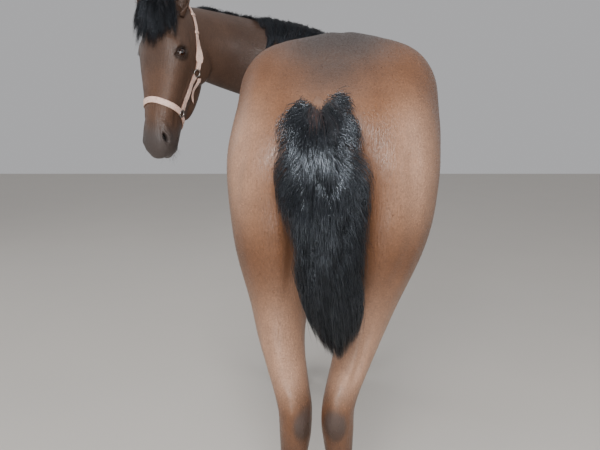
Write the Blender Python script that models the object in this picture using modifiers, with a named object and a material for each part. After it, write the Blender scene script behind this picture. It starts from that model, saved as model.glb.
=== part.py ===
"""Young New Altai horse, life size, standing with the neck bent round to its left and looking back.

Metres, +Z up. +Y is the way the trunk points, +X is the horse's right side.
The trunk and legs are drawn straight, then carried along a gently bent spine line.
The neck follows its own run of stations, and the head is drawn in a frame of its own.
"""

import math
import random

import bmesh
import bpy
from mathutils import Matrix, Vector
from mathutils.bvhtree import BVHTree

# Driving sizes of the animal.
CROUP_HEIGHT = 1.447
RUMP_HALF_WIDTH = 0.255
HOCK_X = 0.049
HIND_HOOF_X = 0.088
FORE_HOOF_X = 0.115
EYE_RADIUS = 0.0205
EAR_LENGTH = 0.165
SEAM = 0.0003
EAR_SPREAD = {-1: 0.30, 1: 0.56}

# The spine line: heading in degrees, positive towards the horse's right.
HEADING_REAR = 8.0
HEADING_FRONT = -8.0
BEND_FROM_Y = 0.40
BEND_TO_Y = 1.05
SPINE_START_X = 0.052
HIND_SWAY = -0.021
SWAY_FROM_Z = 1.00
SWAY_TO_Z = 0.72

# The head's frame.
HEAD_HEADING = -150.0
HEAD_PITCH = 79.0
HEAD_ROLL = 2.0
FOREHEAD_POINT = Vector((-0.536, 0.990, 1.4405))
FOREHEAD_LOCAL = Vector((0.0, 0.215, 0.010))

# Mesh sizes.
RING_POINTS = 40
BODY_VOXEL = 0.0085
HEAD_VOXEL = 0.0045

BODY_TRIANGLES = 3650
HEAD_TRIANGLES = 1150
STRAP_THINNING = 0.75

# y, top, mid height, bottom, half width, upper and lower roundness exponents.
TRUNK = [
    (0.020, 1.240, 1.15, 1.060, 0.080, 2.0, 2.0),
    (0.060, 1.283, 1.15, 1.000, 0.170, 2.0, 2.0),
    (0.130, 1.335, 1.16, 0.960, 0.222, 2.1, 2.0),
    (0.230, 1.392, 1.17, 0.930, 0.252, 2.1, 2.0),
    (0.330, 1.430, 1.16, 0.900, RUMP_HALF_WIDTH, 2.1, 2.0),
    (0.430, CROUP_HEIGHT, 1.14, 0.850, 0.248, 2.1, 2.0),
    (0.540, 1.437, 1.11, 0.790, 0.242, 2.1, 2.0),
    (0.670, 1.416, 1.06, 0.740, 0.256, 2.1, 2.0),
    (0.800, 1.401, 1.03, 0.712, 0.266, 2.0, 2.0),
    (0.920, 1.402, 1.02, 0.700, 0.260, 1.9, 2.0),
    (1.020, 1.422, 1.02, 0.700, 0.240, 1.7, 2.0),
    (1.110, 1.432, 1.03, 0.708, 0.217, 1.6, 2.0),
    (1.210, 1.395, 1.05, 0.730, 0.192, 1.7, 2.0),
    (1.310, 1.330, 1.07, 0.775, 0.168, 1.8, 2.0),
    (1.400, 1.240, 1.07, 0.850, 0.138, 2.0, 2.0),
    (1.450, 1.160, 1.06, 0.940, 0.085, 2.0, 2.0),
]

# height, side offset, fore and aft place, half width, half depth.
HIND_LEG = [
    (1.240, 0.115, 0.190, 0.110, 0.140),
    (1.150, 0.126, 0.185, 0.122, 0.185),
    (1.050, 0.126, 0.188, 0.118, 0.203),
    (0.960, 0.122, 0.195, 0.112, 0.203),
    (0.880, 0.116, 0.200, 0.098, 0.185),
    (0.810, 0.108, 0.180, 0.078, 0.145),
    (0.750, 0.099, 0.145, 0.063, 0.108),
    (0.690, 0.085, 0.108, 0.052, 0.080),
    (0.640, 0.069, 0.080, 0.046, 0.070),
    (0.600, 0.057, 0.064, 0.042, 0.068),
    (0.560, HOCK_X, 0.057, 0.040, 0.067),
    (0.520, HOCK_X, 0.058, 0.040, 0.060),
    (0.470, 0.051, 0.060, 0.037, 0.049),
    (0.400, 0.056, 0.060, 0.030, 0.038),
    (0.320, 0.063, 0.060, 0.027, 0.036),
    (0.265, 0.070, 0.060, 0.033, 0.042),
    (0.235, 0.074, 0.062, 0.035, 0.044),
    (0.195, 0.078, 0.076, 0.031, 0.038),
    (0.150, 0.082, 0.098, 0.032, 0.037),
    (0.110, 0.086, 0.116, 0.041, 0.045),
    (0.080, HIND_HOOF_X, 0.126, 0.048, 0.052),
    (0.040, HIND_HOOF_X, 0.130, 0.050, 0.054),
]

FORE_LEG = [
    (1.080, 0.120, 1.210, 0.085, 0.150),
    (0.980, 0.128, 1.205, 0.085, 0.145),
    (0.900, 0.132, 1.185, 0.080, 0.125),
    (0.830, 0.132, 1.165, 0.071, 0.105),
    (0.760, 0.131, 1.155, 0.061, 0.085),
    (0.690, 0.129, 1.155, 0.052, 0.070),
    (0.610, 0.126, 1.158, 0.044, 0.056),
    (0.530, 0.124, 1.160, 0.039, 0.046),
    (0.480, 0.123, 1.163, 0.043, 0.047),
    (0.440, 0.122, 1.164, 0.044, 0.049),
    (0.400, 0.120, 1.160, 0.038, 0.043),
    (0.350, 0.119, 1.158, 0.029, 0.037),
    (0.280, 0.117, 1.156, 0.028, 0.036),
    (0.240, 0.116, 1.158, 0.034, 0.042),
    (0.210, 0.116, 1.163, 0.035, 0.043),
    (0.175, 0.115, 1.176, 0.031, 0.037),
    (0.135, 0.115, 1.196, 0.034, 0.038),
    (0.105, FORE_HOOF_X, 1.211, 0.043, 0.047),
    (0.080, FORE_HOOF_X, 1.219, 0.050, 0.054),
    (0.040, FORE_HOOF_X, 1.222, 0.052, 0.056),
]

# centre, heading, rise, half width, half height above and below, crest roundness.
NECK = [
    (Vector((0.098, 1.080, 1.200)), -8.0, 50.0, 0.150, 0.270, 0.270, 1.9),
    (Vector((0.082, 1.185, 1.280)), -24.0, 42.0, 0.122, 0.225, 0.225, 1.8),
    (Vector((0.030, 1.270, 1.350)), -50.0, 33.0, 0.106, 0.190, 0.205, 1.7),
    (Vector((-0.060, 1.312, 1.402)), -76.0, 24.0, 0.095, 0.165, 0.185, 1.7),
    (Vector((-0.165, 1.318, 1.437)), -98.0, 16.0, 0.087, 0.150, 0.172, 1.7),
    (Vector((-0.270, 1.290, 1.462)), -115.0, 11.0, 0.082, 0.142, 0.162, 1.8),
    (Vector((-0.360, 1.235, 1.480)), -130.0, 8.0, 0.080, 0.136, 0.148, 1.9),
    (Vector((-0.430, 1.165, 1.492)), -145.0, 6.0, 0.080, 0.128, 0.128, 2.0),
    (Vector((-0.475, 1.090, 1.500)), -155.0, 5.0, 0.076, 0.110, 0.110, 2.0),
]

# along the head, face side, level of the widest part, jaw side, half width, exponents.
HEAD = [
    (0.000, -0.028, -0.070, -0.120, 0.042, 2.0, 2.0),
    (0.030, -0.006, -0.080, -0.165, 0.066, 2.2, 2.0),
    (0.080, 0.010, -0.080, -0.205, 0.086, 2.3, 1.9),
    (0.140, 0.016, -0.070, -0.240, 0.096, 2.5, 1.7),
    (0.200, 0.013, -0.062, -0.258, 0.103, 2.7, 1.5),
    (0.260, 0.008, -0.062, -0.262, 0.099, 2.6, 1.4),
    (0.320, 0.004, -0.062, -0.240, 0.088, 2.4, 1.4),
    (0.380, 0.001, -0.060, -0.200, 0.075, 2.3, 1.6),
    (0.435, 0.000, -0.058, -0.165, 0.065, 2.3, 1.9),
    (0.480, 0.001, -0.058, -0.145, 0.061, 2.3, 2.1),
    (0.518, 0.002, -0.058, -0.133, 0.061, 2.3, 2.2),
    (0.552, -0.003, -0.058, -0.122, 0.059, 2.3, 2.3),
    (0.575, -0.014, -0.060, -0.110, 0.050, 2.2, 2.3),
    (0.589, -0.030, -0.064, -0.098, 0.034, 2.0, 2.0),
]


def clear_scene():
    """Start from an empty scene."""
    for thing in list(bpy.data.objects):
        bpy.data.objects.remove(thing, do_unlink=True)


def make_collection(name):
    group = bpy.data.collections.new(name)
    bpy.context.scene.collection.children.link(group)
    return group


def heading_vectors(degrees):
    """Forward and right directions on the level for a heading."""
    angle = math.radians(degrees)
    forward = Vector((math.sin(angle), math.cos(angle), 0.0))
    right = Vector((math.cos(angle), -math.sin(angle), 0.0))
    return forward, right


def spine_heading(y):
    share = min(1.0, max(0.0, (y - BEND_FROM_Y) / (BEND_TO_Y - BEND_FROM_Y)))
    return HEADING_REAR + (HEADING_FRONT - HEADING_REAR) * share


def spine_frame(y):
    """Point, forward and right of the bent spine line at a straight distance y."""
    steps = 24
    point = Vector((SPINE_START_X, 0.0, 0.0))
    step = y / steps
    for i in range(steps):
        forward, _ = heading_vectors(spine_heading((i + 0.5) * step))
        point += forward * step
    forward, right = heading_vectors(spine_heading(y))
    return point, forward, right


def on_spine(x, y, z):
    """Carry a point of the straight animal onto the bent spine line."""
    point, _, right = spine_frame(y)
    placed = point + right * x
    placed.z = z
    return placed


def head_axes():
    """Columns: the horse's right, along the head to the muzzle, out of the face."""
    forward, right = heading_vectors(HEAD_HEADING)
    pitch = math.radians(HEAD_PITCH)
    up = Vector((0.0, 0.0, 1.0))
    along = forward * math.cos(pitch) - up * math.sin(pitch)
    out = forward * math.sin(pitch) + up * math.cos(pitch)
    turn = Matrix.Rotation(math.radians(HEAD_ROLL), 3, forward)
    return turn @ right, turn @ along, turn @ out


def head_matrix():
    right, along, out = head_axes()
    basis = Matrix((right, along, out)).transposed()
    origin = FOREHEAD_POINT - basis @ FOREHEAD_LOCAL
    return Matrix.Translation(origin) @ basis.to_4x4()


def smooth_row(rows, t):
    """Catmull-Rom value of a table of rows at t, in row numbers."""
    last = len(rows) - 1
    i = min(last - 1, max(0, int(math.floor(t))))
    u = t - i
    near = rows[i]
    far = rows[i + 1]
    before = rows[i - 1] if i > 0 else near
    after = rows[i + 2] if i + 2 <= last else far
    values = []
    for p0, p1, p2, p3 in zip(before, near, far, after):
        bend = (p1 * 2.0 + (p2 - p0) * u + (p0 * 2.0 - p1 * 5.0 + p2 * 4.0 - p3) * (u * u)
                + (p1 * 3.0 - p0 - p2 * 3.0 + p3) * (u * u * u))
        values.append(bend * 0.5)
    return values


def round_power(value, exponent):
    """Signed power used by the rounded sections."""
    return math.copysign(abs(value) ** (2.0 / exponent), value)


def new_object(name, verts, faces, group):
    mesh = bpy.data.meshes.new(name)
    mesh.from_pydata([tuple(v) for v in verts], [], faces)
    mesh.update()
    thing = bpy.data.objects.new(name, mesh)
    group.objects.link(thing)
    return thing


def face_outwards(thing):
    """Make every face of a closed mesh look out."""
    work = bmesh.new()
    work.from_mesh(thing.data)
    bmesh.ops.recalc_face_normals(work, faces=work.faces)
    if work.calc_volume(signed=True) < 0.0:
        bmesh.ops.reverse_faces(work, faces=work.faces)
    work.to_mesh(thing.data)
    work.free()
    thing.data.update()


def loft(name, rings, group, strip_caps=False):
    """Closed skin over rings of equal count; ends get a middle point, or strips if C-shaped."""
    count = len(rings[0])
    verts = [v for ring in rings for v in ring]
    faces = []
    for r in range(len(rings) - 1):
        low = r * count
        high = low + count
        for k in range(count):
            n = (k + 1) % count
            faces.append((low + k, low + n, high + n, high + k))
    top = (len(rings) - 1) * count
    if strip_caps:
        for k in range(count // 2 - 1):
            far = count - 1 - k
            faces.append((k, k + 1, far - 1, far))
            faces.append((top + k + 1, top + k, top + far, top + far - 1))
    else:
        start = len(verts)
        verts.append(sum(rings[0], Vector()) / count)
        verts.append(sum(rings[-1], Vector()) / count)
        for k in range(count):
            n = (k + 1) % count
            faces.append((start, k, n))
            faces.append((start + 1, top + n, top + k))
    thing = new_object(name, verts, faces, group)
    face_outwards(thing)
    return thing


def egg_ring(place, half_width, middle, above, below, e_up, e_down, count=RING_POINTS):
    """Rounded section; place(side, height) gives the world point."""
    ring = []
    for k in range(count):
        angle = 2.0 * math.pi * k / count
        side = half_width * round_power(math.cos(angle), 2.0)
        rise = math.sin(angle)
        if rise >= 0.0:
            height = middle + above * round_power(rise, e_up)
            side = half_width * round_power(math.cos(angle), e_up)
        else:
            height = middle + below * round_power(rise, e_down)
            side = half_width * round_power(math.cos(angle), e_down)
        ring.append(place(side, height))
    return ring


def trunk_loft(group):
    rings = []
    steps = 60
    for i in range(steps + 1):
        row = smooth_row(TRUNK, i * (len(TRUNK) - 1) / steps)
        y, top, mid, bottom, half, e_up, e_down = row
        rings.append(egg_ring(
            lambda s, h, y=y: on_spine(s, y, h),
            half, mid, top - mid, mid - bottom, e_up, e_down))
    return loft("trunk_form", rings, group)


def hind_sway(y, z):
    """Side shift of the hind legs, which stand a little left of the croup's middle."""
    if y > BEND_FROM_Y:
        return 0.0
    share = min(1.0, max(0.0, (SWAY_FROM_Z - z) / (SWAY_FROM_Z - SWAY_TO_Z)))
    return HIND_SWAY * share


def leg_loft(name, table, sign, shift, group):
    """Leg drawn in level sections; shift moves the lower leg fore or aft."""
    rings = []
    steps = 70
    for i in range(steps + 1):
        z, x, y, half, deep = smooth_row(table, i * (len(table) - 1) / steps)
        ring = []
        for k in range(RING_POINTS):
            angle = 2.0 * math.pi * k / RING_POINTS
            side = sign * x + half * math.cos(angle) + hind_sway(y, z)
            along = y + shift + deep * math.sin(angle)
            ring.append(on_spine(side, along, z))
        rings.append(ring)
    return loft(name, rings, group)


def neck_rows():
    rows = []
    for centre, heading, rise, half, above, below, e_up in NECK:
        rows.append((centre.x, centre.y, centre.z, heading, rise, half, above, below, e_up))
    return rows


def neck_frame(t):
    """Centre, right and up of the neck's section at station t, with its sizes."""
    x, y, z, heading, rise, half, above, below, e_up = smooth_row(neck_rows(), t)
    forward, right = heading_vectors(heading)
    tilt = math.radians(rise)
    up = Vector((0.0, 0.0, 1.0)) * math.cos(tilt) - forward * math.sin(tilt)
    return Vector((x, y, z)), right, up, half, above, below, e_up


def neck_loft(group):
    rings = []
    steps = 48
    for i in range(steps + 1):
        centre, right, up, half, above, below, e_up = neck_frame(i * (len(NECK) - 1) / steps)
        rings.append(egg_ring(
            lambda s, h, c=centre, r=right, u=up: c + r * s + u * h,
            half, 0.0, above, below, e_up, 1.9))
    return loft("neck_form", rings, group)


def head_loft(group):
    to_world = head_matrix()
    rings = []
    steps = 52
    for i in range(steps + 1):
        row = smooth_row(HEAD, i * (len(HEAD) - 1) / steps)
        a, face, mid, jaw, half, e_up, e_down = row
        rings.append(egg_ring(
            lambda s, h, a=a: to_world @ Vector((s, a, h)),
            half, mid, face - mid, mid - jaw, e_up, e_down))
    return loft("head_form", rings, group)


def ball(name, centre, radii, group, axes=None, segments=24, rings=16):
    """Ellipsoid with its half sizes along the given axes."""
    work = bmesh.new()
    bmesh.ops.create_uvsphere(work, u_segments=segments, v_segments=rings, radius=1.0)
    basis = Matrix(axes).transposed() if axes else Matrix.Identity(3)
    for vert in work.verts:
        scaled = Vector((vert.co.x * radii[0], vert.co.y * radii[1], vert.co.z * radii[2]))
        vert.co = centre + basis @ scaled
    mesh = bpy.data.meshes.new(name)
    work.to_mesh(mesh)
    work.free()
    thing = bpy.data.objects.new(name, mesh)
    group.objects.link(thing)
    face_outwards(thing)
    return thing


def spine_ball(name, x, y, z, radii, group, lean=0.0):
    """Ellipsoid on the trunk, its long axis leaning in the fore and aft plane."""
    _, forward, right = spine_frame(y)
    up = Vector((0.0, 0.0, 1.0))
    turn = Matrix.Rotation(math.radians(lean), 3, right)
    return ball(name, on_spine(x, y, z), radii, group, (right, turn @ forward, turn @ up))


def head_ball(name, local, radii, group, lean=0.0):
    """Ellipsoid on the head, given in the head's frame, leaning about its right."""
    right, along, out = head_axes()
    turn = Matrix.Rotation(math.radians(lean), 3, right)
    centre = head_matrix() @ Vector(local)
    return ball(name, centre, radii, group, (right, turn @ along, turn @ out))


def join_objects(things, name):
    bpy.ops.object.select_all(action="DESELECT")
    for thing in things:
        thing.select_set(True)
    bpy.context.view_layer.objects.active = things[0]
    bpy.ops.object.join()
    joined = bpy.context.view_layer.objects.active
    joined.name = name
    return joined


def use_modifier(thing, kind, **settings):
    """Add a modifier, set it and apply it."""
    modifier = thing.modifiers.new(kind.lower(), kind)
    for key, value in settings.items():
        setattr(modifier, key, value)
    bpy.ops.object.select_all(action="DESELECT")
    thing.select_set(True)
    bpy.context.view_layer.objects.active = thing
    bpy.ops.object.modifier_apply(modifier=modifier.name)


def count_triangles(thing):
    return sum(len(face.vertices) - 2 for face in thing.data.polygons)


def decimate_to(thing, triangles):
    """Thin a mesh to about a number of triangles."""
    now = count_triangles(thing)
    if now > triangles:
        use_modifier(thing, "DECIMATE", ratio=triangles / now, use_collapse_triangulate=True)


def thin_out(thing, ratio):
    """Fewer triangles, taken only where the surface stays closed."""
    before = thing.data.copy()
    use_modifier(thing, "DECIMATE", ratio=ratio, use_collapse_triangulate=True)
    work = bmesh.new()
    work.from_mesh(thing.data)
    closed = len(work.edges) > 0 and all(edge.is_manifold for edge in work.edges)
    work.free()
    if not closed:
        thing.data = before


def fuse_smooth(things, name, voxel, rounds, extra_rounds=0, extra_above=0.0):
    """Melt overlapping forms into one smooth closed skin, smoother still above a height."""
    skin = join_objects(things, name)
    use_modifier(skin, "REMESH", mode="VOXEL", voxel_size=voxel, adaptivity=0.0)
    use_modifier(skin, "SMOOTH", factor=0.5, iterations=rounds)
    if extra_rounds:
        use_modifier(skin, "REMESH", mode="VOXEL", voxel_size=voxel * 1.2, adaptivity=0.0)
        heavy = skin.vertex_groups.new(name="heavy")
        for vert in skin.data.vertices:
            share = min(1.0, max(0.0, (vert.co.z - extra_above) / 0.12))
            heavy.add([vert.index], share, "REPLACE")
        use_modifier(skin, "SMOOTH", factor=0.5, iterations=extra_rounds, vertex_group="heavy")
        skin.vertex_groups.clear()
    return skin


def cut(thing, cutter, operation="DIFFERENCE", solver="EXACT"):
    use_modifier(thing, "BOOLEAN", operation=operation, object=cutter, solver=solver)


def keep_largest(thing):
    """Drop every closed surface of a mesh but the one with the most volume."""
    work = bmesh.new()
    work.from_mesh(thing.data)
    work.faces.ensure_lookup_table()
    seen = set()
    groups = []
    for first in work.faces:
        if first.index in seen:
            continue
        stack = [first]
        seen.add(first.index)
        island = []
        while stack:
            face = stack.pop()
            island.append(face)
            for edge in face.edges:
                for other in edge.link_faces:
                    if other.index not in seen:
                        seen.add(other.index)
                        stack.append(other)
        groups.append(island)
    volumes = []
    for island in groups:
        volume = 0.0
        for face in island:
            corners = [loop.vert.co for loop in face.loops]
            for k in range(1, len(corners) - 1):
                volume += corners[0].dot(corners[k].cross(corners[k + 1])) / 6.0
        volumes.append(abs(volume))
    best = volumes.index(max(volumes))
    for number, island in enumerate(groups):
        if number != best:
            bmesh.ops.delete(work, geom=island, context="FACES")
    loose = [v for v in work.verts if not v.link_faces]
    bmesh.ops.delete(work, geom=loose, context="VERTS")
    work.to_mesh(thing.data)
    work.free()
    thing.data.update()


def copy_object(thing, name, group):
    twin = thing.copy()
    twin.data = thing.data.copy()
    twin.name = name
    twin.data.name = name
    group.objects.link(twin)
    return twin


def slab(name, centre, normal, across, high, thick, group):
    """Box used as a thin cutter or as a half space, its flat side facing the normal."""
    normal = normal.normalized()
    side = normal.cross(Vector((0.0, 0.0, 1.0)))
    if side.length < 1e-4:
        side = Vector((1.0, 0.0, 0.0))
    side.normalize()
    rise = side.cross(normal)
    corners = []
    for a, b, c in ((-1, -1, -1), (1, -1, -1), (1, 1, -1), (-1, 1, -1),
                    (-1, -1, 1), (1, -1, 1), (1, 1, 1), (-1, 1, 1)):
        corners.append(centre + side * (a * across) + rise * (b * high) + normal * (c * thick))
    faces = [(0, 3, 2, 1), (4, 5, 6, 7), (0, 1, 5, 4), (1, 2, 6, 5), (2, 3, 7, 6), (3, 0, 4, 7)]
    thing = new_object(name, corners, faces, group)
    face_outwards(thing)
    return thing


def split_pieces(thing, group):
    """Separate a mesh into its closed surfaces and return them as objects."""
    bpy.ops.object.select_all(action="DESELECT")
    thing.select_set(True)
    bpy.context.view_layer.objects.active = thing
    before = set(bpy.data.objects)
    bpy.ops.object.mode_set(mode="EDIT")
    bpy.ops.mesh.select_all(action="SELECT")
    bpy.ops.mesh.separate(type="LOOSE")
    bpy.ops.object.mode_set(mode="OBJECT")
    return [thing] + [other for other in bpy.data.objects if other not in before]


def middle_of(thing):
    total = Vector()
    for vert in thing.data.vertices:
        total += vert.co
    return total / max(1, len(thing.data.vertices))


def inflated(thing, amount, group, name="clearance"):
    """Copy of a node grown along its normals, used to cut its neighbours clear."""
    grown = copy_object(thing, name, group)
    use_modifier(grown, "DISPLACE", strength=amount, mid_level=0.0)
    return grown


def clear_of(thing, neighbours, group, amount=SEAM * 1.5, solver="EXACT"):
    """Cut a node a seam's width clear of its neighbours, keeping its largest piece."""
    for neighbour in neighbours:
        grown = inflated(neighbour, amount, group)
        cut(thing, grown, solver=solver)
    keep_largest(thing)


def body_forms(group):
    """Trunk, legs, neck and the muscles that round them out, before they are fused."""
    forms = [trunk_loft(group), neck_loft(group)]
    for sign, hock_shift in ((-1, -0.008), (1, 0.010)):
        forms.append(leg_loft("hind_form", HIND_LEG, sign, hock_shift, group))
        forms.append(leg_loft("fore_form", FORE_LEG, sign, 0.0, group))
        for x, y, z, radii, lean in MUSCLES:
            shift = hock_shift if z < LEG_SHIFT_BELOW and y < BEND_FROM_Y else 0.0
            side = sign * x + hind_sway(y, z)
            forms.append(spine_ball("muscle", side, y + shift, z, radii, group, lean))
    forms.append(spine_ball("withers", 0.0, 1.07, 1.385, (0.045, 0.14, 0.045), group))
    return forms


# side, fore and aft, height, half sizes, lean in degrees.
MUSCLES = [
    (0.112, 0.310, 1.270, (0.136, 0.220, 0.142), 0.0),
    (0.096, 0.100, 1.080, (0.088, 0.090, 0.200), 0.0),
    (0.130, 0.200, 1.120, (0.120, 0.180, 0.230), 0.0),
    (0.145, 0.460, 1.270, (0.086, 0.130, 0.105), 0.0),
    (0.125, 0.290, 0.930, (0.073, 0.105, 0.130), 0.0),
    (0.145, 0.420, 1.060, (0.080, 0.150, 0.150), 0.0),
    (0.100, 1.170, 1.160, (0.105, 0.165, 0.235), -20.0),
    (0.108, 1.290, 1.060, (0.078, 0.100, 0.120), 0.0),
    (0.060, 1.345, 1.000, (0.078, 0.080, 0.120), 0.0),
    (0.140, 1.175, 0.800, (0.052, 0.088, 0.120), 0.0),
    (HOCK_X, 0.008, 0.585, (0.018, 0.024, 0.050), 0.0),
]
LEG_SHIFT_BELOW = 0.70
HOCK_GAP = 0.005

# Planes that part the body, as heights on the straight animal.
HIND_CUT_Z = 0.792
FORE_CUT_Z = 0.688
HOOF_TOP_Z = 0.080
NECK_CUT_STATION = 1.45
HEAD_CUT_POINT = Vector((0.0, 0.100, -0.195))
HEAD_CUT_NORMAL = Vector((0.0, 0.537, 0.843))


def head_forms(group):
    """Skull, cheeks, brows, nostril wings and lips, before they are fused."""
    forms = [head_loft(group), neck_loft(group)]
    for sign in (-1, 1):
        for local, radii, lean in FACE_FORMS:
            side = Vector((local[0] * sign, local[1], local[2]))
            forms.append(head_ball("face_form", side, radii, group, lean))
    forms.append(head_ball("chin", (0.0, 0.546, -0.116), (0.032, 0.034, 0.022), group))
    forms.append(head_ball("lower_lip", (0.0, 0.574, -0.096), (0.031, 0.022, 0.017), group))
    forms.append(head_ball("upper_lip", (0.0, 0.578, -0.052), (0.040, 0.024, 0.026), group))
    return forms


# side, along, out; half sizes; lean.
FACE_FORMS = [
    ((0.058, 0.215, -0.165), (0.034, 0.090, 0.085), 0.0),
    ((0.050, 0.330, -0.070), (0.028, 0.110, 0.020), 8.0),
    ((0.078, 0.196, -0.026), (0.026, 0.042, 0.020), 0.0),
    ((0.074, 0.235, -0.064), (0.024, 0.030, 0.016), 0.0),
    ((0.036, 0.535, -0.036), (0.022, 0.031, 0.026), 12.0),
    ((0.034, 0.547, -0.062), (0.023, 0.034, 0.022), 0.0),
    ((0.030, 0.330, -0.190), (0.022, 0.120, 0.030), 18.0),
]

EYE_LOCAL = Vector((0.0845, 0.2155, -0.0425))
EYE_LOOK = Vector((0.93, 0.0, 0.365))
LID_HALF_LENGTH = 0.0205
LID_HALF_OPENING = 0.0135
LID_TUBE = 0.0036


def eye_frame(sign):
    """World centre and axes (along the opening, across it, out of the eye)."""
    right, along, out = head_axes()
    centre = head_matrix() @ Vector((EYE_LOCAL.x * sign, EYE_LOCAL.y, EYE_LOCAL.z))
    look = (right * (EYE_LOOK.x * sign) + out * EYE_LOOK.z).normalized()
    across = (out - look * out.dot(look)).normalized()
    length = across.cross(look).normalized()
    return centre, length, across, look


def tube(name, points, radius, group, sides=10, closed=False, reference=(0.3, 0.2, 1.0)):
    """Round tube of one radius or of a list of radii along points."""
    reference = Vector(reference)
    count = len(points)
    rings = []
    for i, point in enumerate(points):
        ahead = points[(i + 1) % count] if closed or i + 1 < count else point
        behind = points[i - 1] if closed or i > 0 else point
        direction = (ahead - behind).normalized()
        side = direction.cross(reference).normalized()
        rise = side.cross(direction)
        size = radius[i] if isinstance(radius, list) else radius
        ring = []
        for k in range(sides):
            angle = 2.0 * math.pi * k / sides
            ring.append(point + side * (size * math.cos(angle)) + rise * (size * math.sin(angle)))
        rings.append(ring)
    if not closed:
        return loft(name, rings, group)
    verts = [v for ring in rings for v in ring]
    faces = []
    for r in range(count):
        low = r * sides
        high = ((r + 1) % count) * sides
        for k in range(sides):
            n = (k + 1) % sides
            faces.append((low + k, low + n, high + n, high + k))
    thing = new_object(name, verts, faces, group)
    face_outwards(thing)
    return thing


def lid_ring(sign, group):
    """Rim of the lids: an almond-shaped closed tube lying on the eyeball."""
    centre, length, across, look = eye_frame(sign)
    reach = EYE_RADIUS + 0.0015
    points = []
    steps = 20
    for i in range(steps):
        angle = 2.0 * math.pi * i / steps
        u = LID_HALF_LENGTH * math.cos(angle)
        v = LID_HALF_OPENING * math.sin(angle) * (1.0 - 0.25 * math.cos(angle) ** 4)
        w = math.sqrt(max(1e-5, reach * reach - u * u - v * v))
        points.append(centre + length * u + across * v + look * w)
    return tube("lid_rim", points, LID_TUBE, group, sides=8, closed=True, reference=look)


def mouth_cutter(group):
    """Thin slot that draws the line between the lips."""
    to_world = head_matrix()
    path = [(-0.067, 0.503, -0.094), (-0.057, 0.528, -0.088), (-0.047, 0.557, -0.083),
            (-0.030, 0.581, -0.079), (0.0, 0.590, -0.077), (0.030, 0.581, -0.079),
            (0.047, 0.557, -0.083), (0.057, 0.528, -0.088), (0.067, 0.503, -0.094)]
    inner = 0.62
    thick = 0.0011
    rings = []
    for x, y, z in path:
        start = Vector((x * inner, 0.5 + (y - 0.5) * 0.86, z))
        end = Vector((x * 1.6, 0.5 + (y - 0.5) * 1.35, z))
        lift = Vector((0.0, 0.0, thick))
        rings.append([to_world @ (start - lift), to_world @ (end - lift),
                      to_world @ (end + lift), to_world @ (start + lift)])
    return loft("mouth_slot", rings, group)


def nostril_cutter(sign, group):
    to_world = head_matrix()
    points = []
    for x, y, z in ((0.050, 0.496, -0.008), (0.050, 0.514, -0.020), (0.047, 0.532, -0.030),
                    (0.040, 0.545, -0.040)):
        points.append(to_world @ Vector((x * sign, y, z)))
    return points


def make_ear(name, sign, group):
    """Cupped ear: crescent sections from a closed base to the tip."""
    right, along, out = head_axes()
    base = head_matrix() @ Vector((0.070 * sign, 0.082, -0.038))
    up = (-along + right * (EAR_SPREAD[sign] * sign) + out * 0.06).normalized()
    facing = (out + right * (0.55 * sign)).normalized()
    facing = (facing - up * facing.dot(up)).normalized()
    side = up.cross(facing).normalized()
    rings = []
    steps = 10
    half = 7
    for i in range(steps + 1):
        t = i / steps
        radius = 0.0035 + 0.030 * math.sin(math.pi * min(1.0, 0.22 + 0.78 * t)) ** 0.8
        closed = 168.0 - 70.0 * min(1.0, t / 0.35) - 22.0 * t
        wall = 0.0042 * (1.0 - 0.5 * t)
        centre = base + up * (t * EAR_LENGTH) + facing * (0.012 * math.sin(math.pi * t))
        outer = []
        inner = []
        for k in range(half + 1):
            angle = math.radians(closed * (2.0 * k / half - 1.0))
            direction = -facing * math.cos(angle) + side * math.sin(angle)
            squash = 1.0
            outer.append(centre + direction * radius * squash)
            inner.append(centre + direction * max(0.0012, radius - wall) * squash)
        rings.append(outer + inner[::-1])
    return loft(name, rings, group, strip_caps=True)


def hoof(name, sign, x, y, top_half, top_deep, group):
    """Hoof from the coronet down to a flat sole, its toe sloping forward."""
    rings = []
    levels = [(HOOF_TOP_Z - SEAM, 0.0), (0.072, 0.10), (0.035, 0.62), (0.004, 1.0), (0.0, 0.97)]
    count = 20
    for z, grow in levels:
        half = top_half + 0.014 * grow
        deep = top_deep + 0.014 * grow
        ring = []
        for k in range(count):
            angle = 2.0 * math.pi * k / count
            reach = math.sin(angle)
            back = 0.86 if reach < 0.0 else 1.0
            side = half * math.cos(angle)
            place = y + 0.013 * grow + deep * reach * back
            ring.append(on_spine(sign * x + side + hind_sway(y, z), place, z))
        rings.append(ring)
    return loft(name, rings, group)


def strap(name, points, normals, width, thick, group, lift=0.0):
    """Flat band along points on a surface, its flat side along the normals."""
    rings = []
    count = len(points)
    for i in range(count):
        ahead = points[min(i + 1, count - 1)]
        behind = points[max(i - 1, 0)]
        direction = (ahead - behind).normalized()
        normal = (normals[i] - direction * normals[i].dot(direction)).normalized()
        side = direction.cross(normal).normalized()
        half = width * 0.5
        low = points[i] + normal * lift
        high = low + normal * thick
        rings.append([low - side * half, low + side * half, high + side * half * 0.94,
                      high - side * half * 0.94])
    return loft(name, rings, group)


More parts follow.
